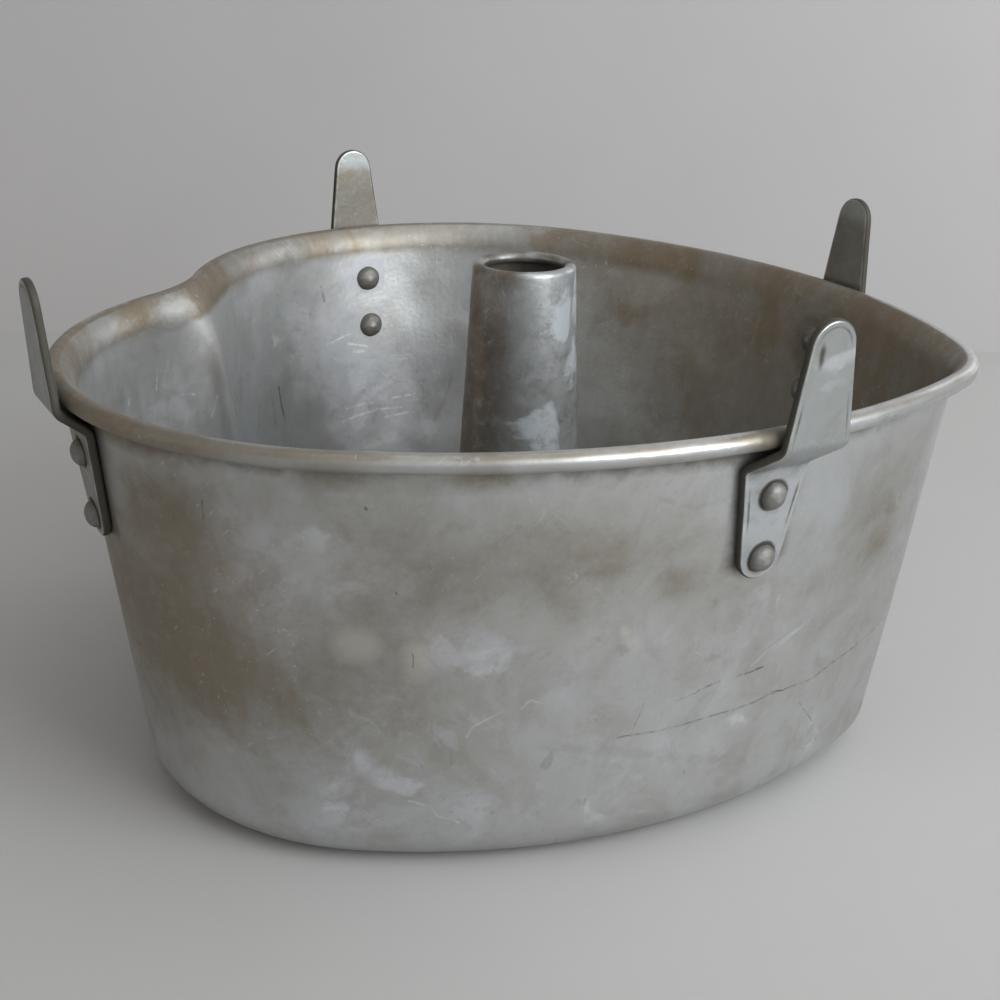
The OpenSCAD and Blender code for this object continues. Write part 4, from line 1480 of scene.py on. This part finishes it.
@dataclass(frozen=True)
class Rivets:
    """Eight rivets, each with a domed head on the leg and a lower head inside the pan."""

    legs: CoolingLegs = CoolingLegs()
    shank_d: float = 3.2 * MM
    outer_d: float = 6.4 * MM
    outer_h: float = 2.4 * MM
    inner_d: float = 7.6 * MM
    inner_h: float = 2.1 * MM
    dome_steps: int = 14
    around: int = 40

    def section(self) -> np.ndarray:
        """Half section from the inner head's crown to the outer one's, as rows of radius and height.

        A dome is r = R sin a, h = H cos a for a quarter turn.
        """
        shell = self.legs.shell
        low, high = -shell.sheet - self.legs.seat_gap, self.legs.seat_gap + self.legs.thick
        a = np.linspace(0, pi / 2, self.dome_steps)
        inside, outside = self.inner_d / 2, self.outer_d / 2
        inner = np.c_[inside * np.sin(a), low - self.inner_h * np.cos(a)]
        outer = np.c_[outside * np.sin(a[::-1]), high + self.outer_h * np.cos(a[::-1])]
        rim, shank = 0.25 * MM, self.shank_d / 2
        neck = [[inside - rim, low], [shank, low], [shank, high], [outside - rim, high]]
        return np.vstack([inner, neck, outer])

    def surface(self, corner: Corner, z: float, seed: int) -> Surface:
        """The half section turned about the rivet's axis, with a slightly hammered outer dome.

        Args:
            corner: The leg it holds.
            z: Its height on the wall's outer face.
            seed: Number that varies the hammering.

        Returns:
            The closed rivet with its masks.
        """
        shell, lean = self.legs.shell, self.legs.shell.wall_lean
        section = self.section()
        angle = 2 * pi * np.arange(self.around)[None, :] / self.around
        r, h = section[:, :1], section[:, 1:]
        knocks = np.random.default_rng(seed).uniform(0, 2 * pi, 3)
        r = r * (1 + 0.018 * np.sin(2 * angle + knocks[0]) + 0.012 * np.sin(5 * angle + knocks[1]))
        along = np.array([cos(lean), 0.0, -sin(lean)])
        up = np.array([sin(lean), 0.0, cos(lean)])
        sideways = np.array([0.0, 1.0, 0.0])
        foot = np.array([shell.wall_face(z), 0.0, z])
        local = (foot + h[..., None] * along + (r * np.cos(angle))[..., None] * up
                 + (r * np.sin(angle))[..., None] * sideways)
        points = corner.settle(shell.heart, local)
        # Painted contact shade round the dome's edge; the crown's bright wear is partly a painted highlight.
        rim = smooth_step(section[:, 0], 0.55 * self.outer_d / 2, 0.98 * self.outer_d / 2)[:, None]
        crown = smooth_step(section[:, 0], 1.9 * MM, 0.2 * MM)[:, None]
        shade_in = flag(h < 0)
        masks = full_masks(points, grimy=0.45 * rim, worn=0.55 * crown, baked=0.30 + 0.1 * shade_in,
                           oxide=0.30)
        return grid_surface(points, False, masks)

    def build(self, finishes: dict[Finish, Material]) -> None:
        """Makes the rivets and lets each stand for its node."""
        for k, corner in enumerate(Corner):
            for j, (level, z) in enumerate(zip(("upper", "lower"), self.legs.rivet_heights())):
                name = f"{corner.value[0]}_{level}"
                surface = self.surface(corner, z, 10 * k + j)
                piece = make_piece(f"dome_{name}", surface, finishes[Finish.RIVET])
                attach(piece, "pan")
                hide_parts(f"rivet_{name}")


# The studio

@dataclass(frozen=True)
class Lamp:
    """A square soft lamp: its name, place and size in metres, power in watts and colour."""

    name: str
    place: Spot
    size: float
    power: float
    colour: Spot


@dataclass(frozen=True)
class Studio:
    """Camera, pale table and backdrop, and soft light.

    The lamps are a wide window on the right, a ceiling, a small window behind, and a weak warm
    fill on the left. The focal length is in pixels of the square image.
    """

    focal: float = 1490.4
    image: float = 1000.0
    sensor: float = 36.0
    azimuth: float = radians(15.201)
    elevation: float = radians(21.826)
    roll: float = radians(1.411)
    distance: float = 398.81 * MM
    aim: Spot = (0.0, 0.0, 0.060)
    shift: tuple[float, float] = (-9.558 * MM, -3.191 * MM)
    table: Colour = shade(0.44, 0.432, 0.424)
    wall: Colour = shade(0.47, 0.455, 0.45)
    dark_room: Colour = shade(0.095, 0.080, 0.062)
    bright_room: Colour = shade(0.80, 0.84, 0.88)
    table_reach: float = 4.0
    wall_line: Points = ((-0.3363, 0.2743), (0.1293, 0.4059))
    wall_spare: float = 3.0
    wall_height: float = 2.5
    pan_middle: float = 50 * MM
    lamps: tuple[Lamp, ...] = (
        Lamp("window", (0.76, -0.32, 0.48), 0.6, 6.3, (0.96, 0.985, 1.0)),
        Lamp("ceiling", (0.35, -0.1, 1.4), 1.2, 3.2, (1.0, 0.99, 0.97)),
        Lamp("side_window", (0.28, 0.45, 0.24), 0.26, 0.55, (0.97, 0.99, 1.0)),
        Lamp("fill", (-1.0, -0.7, 0.5), 0.8, 1.1, (1.0, 0.83, 0.62)),
    )

    def camera(self) -> None:
        """Sets the camera: it looks from the azimuth and elevation at the aim, rolled and moved aside."""
        az, el, ro = self.azimuth, self.elevation, self.roll
        back = np.array([sin(az) * cos(el), -cos(az) * cos(el), sin(el)])
        right = np.array([cos(az), sin(az), 0.0])
        up = np.cross(back, right)
        x, y = cos(ro) * right + sin(ro) * up, -sin(ro) * right + cos(ro) * up
        spot = np.array(self.aim) + back * self.distance + x * self.shift[0] + y * self.shift[1]
        data = bpy.data.cameras.new("camera")
        data.sensor_fit, data.sensor_width = "HORIZONTAL", self.sensor
        data.lens = self.focal * self.sensor / self.image
        data.clip_start, data.clip_end = 0.01, 30.0
        bpy.context.scene.camera = self._placed("camera", data, (x, y, back), spot)

    @staticmethod
    def _placed(name: str, data: bpy.types.ID, axes: tuple[np.ndarray, ...], spot: np.ndarray) -> Thing:
        """Puts a camera or lamp in the scene at a spot, with its own axes along the three given ones."""
        thing = in_scene(name, data)
        turn = np.eye(4)
        turn[:3] = np.column_stack([*axes, spot])
        thing.matrix_world = Matrix(turn.tolist())
        return thing

    def _sheet(self, name: str, corners: list[Spot], material: Material) -> None:
        """A flat four-cornered sheet with a material, linked to the scene."""
        mesh = bpy.data.meshes.new(name)
        mesh.from_pydata(corners, [], [(0, 1, 2, 3)])
        mesh.materials.append(material)
        sheet = in_scene(name, mesh)

    def _plain(self, name: str, colour: Colour, one_sided: bool) -> Material:
        """A matt stage material with faint mottling; a one-sided one lets rays through from behind."""
        material = bpy.data.materials.new(name)
        w = Wires.fresh(material)
        tone = w.ramp(w.noise(w.place(), 6.0, 5.0), 0.3, 0.7, 0.0, 1.0)
        darker = tuple(0.96 * c for c in colour[:3]) + (1.0,)
        inputs = {"Base Color": w.tint(tone, darker, colour), "Roughness": 0.62}
        shader = w.add("ShaderNodeBsdfPrincipled", inputs)
        if one_sided:
            behind = w.add("ShaderNodeNewGeometry", {}, output="Backfacing")
            clear = w.add("ShaderNodeBsdfTransparent", {})
            shader = w.add("ShaderNodeMixShader", {0: behind, 1: shader, 2: clear})
        w.end("ShaderNodeOutputMaterial", shader)
        return material

    def stage(self) -> None:
        """Table top at z = 0 and a backdrop that meets it behind the pan."""
        far, top = self.table_reach, self.wall_height
        self._sheet("table", [(-far, -far, 0), (far, -far, 0), (far, far, 0), (-far, far, 0)],
                    self._plain("table top", self.table, False))
        a, b = (np.array(end) for end in self.wall_line)
        spare = self.wall_spare * (b - a) / np.linalg.norm(b - a)
        left, right = a - spare, b + spare
        self._sheet("backdrop", [(*left, 0), (*right, 0), (*right, top), (*left, top)],
                    self._plain("backdrop wall", self.wall, True))

    def _hang(self, lamp: Lamp) -> None:
        """Makes a lamp that looks at the pan and that the camera doesn't see."""
        data = bpy.data.lights.new(lamp.name, "AREA")
        data.size, data.energy, data.color = lamp.size, lamp.power, lamp.colour
        away = np.array(lamp.place) - np.array([0, 0, self.pan_middle])
        z = away / np.linalg.norm(away)
        x = np.cross([0, 0, 1.0], z)
        x /= np.linalg.norm(x)
        self._placed(lamp.name, data, (x, np.cross(z, x), z), np.array(lamp.place)).visible_camera = False

    def light(self) -> None:
        """Hangs the lamps and lights the room, which brightens towards the window."""
        for lamp in self.lamps:
            self._hang(lamp)
        world = bpy.data.worlds.new("room")
        w = Wires.fresh(world)
        way = w.add("ShaderNodeTexCoord", {}, output="Generated")
        side = w.vector("DOT_PRODUCT", way, (0.95, -0.15, 0.25), "Value")
        room = w.tint(w.ramp(side, -0.75, 0.85), self.dark_room, self.bright_room)
        glow = w.add("ShaderNodeBackground", {"Color": room, "Strength": 1.0})
        w.end("ShaderNodeOutputWorld", glow)
        bpy.context.scene.world = world


def main() -> None:
    """Builds the studio and the pan, part by part."""
    logging.basicConfig(level=logging.INFO, format="%(message)s")
    bpy.context.scene.view_settings.view_transform = "Standard"
    studio = Studio()
    studio.camera()
    studio.stage()
    studio.light()
    effects = Effects()
    finishes = {finish: finish.value.build(effects) for finish in Finish}
    shell = BodyShell()
    legs = CoolingLegs(shell)
    for group in (shell, Insert(shell), legs, Rivets(legs)):
        LOG.info("building %s", type(group).__name__)
        group.build(finishes)


if __name__ == "__main__":
    main()
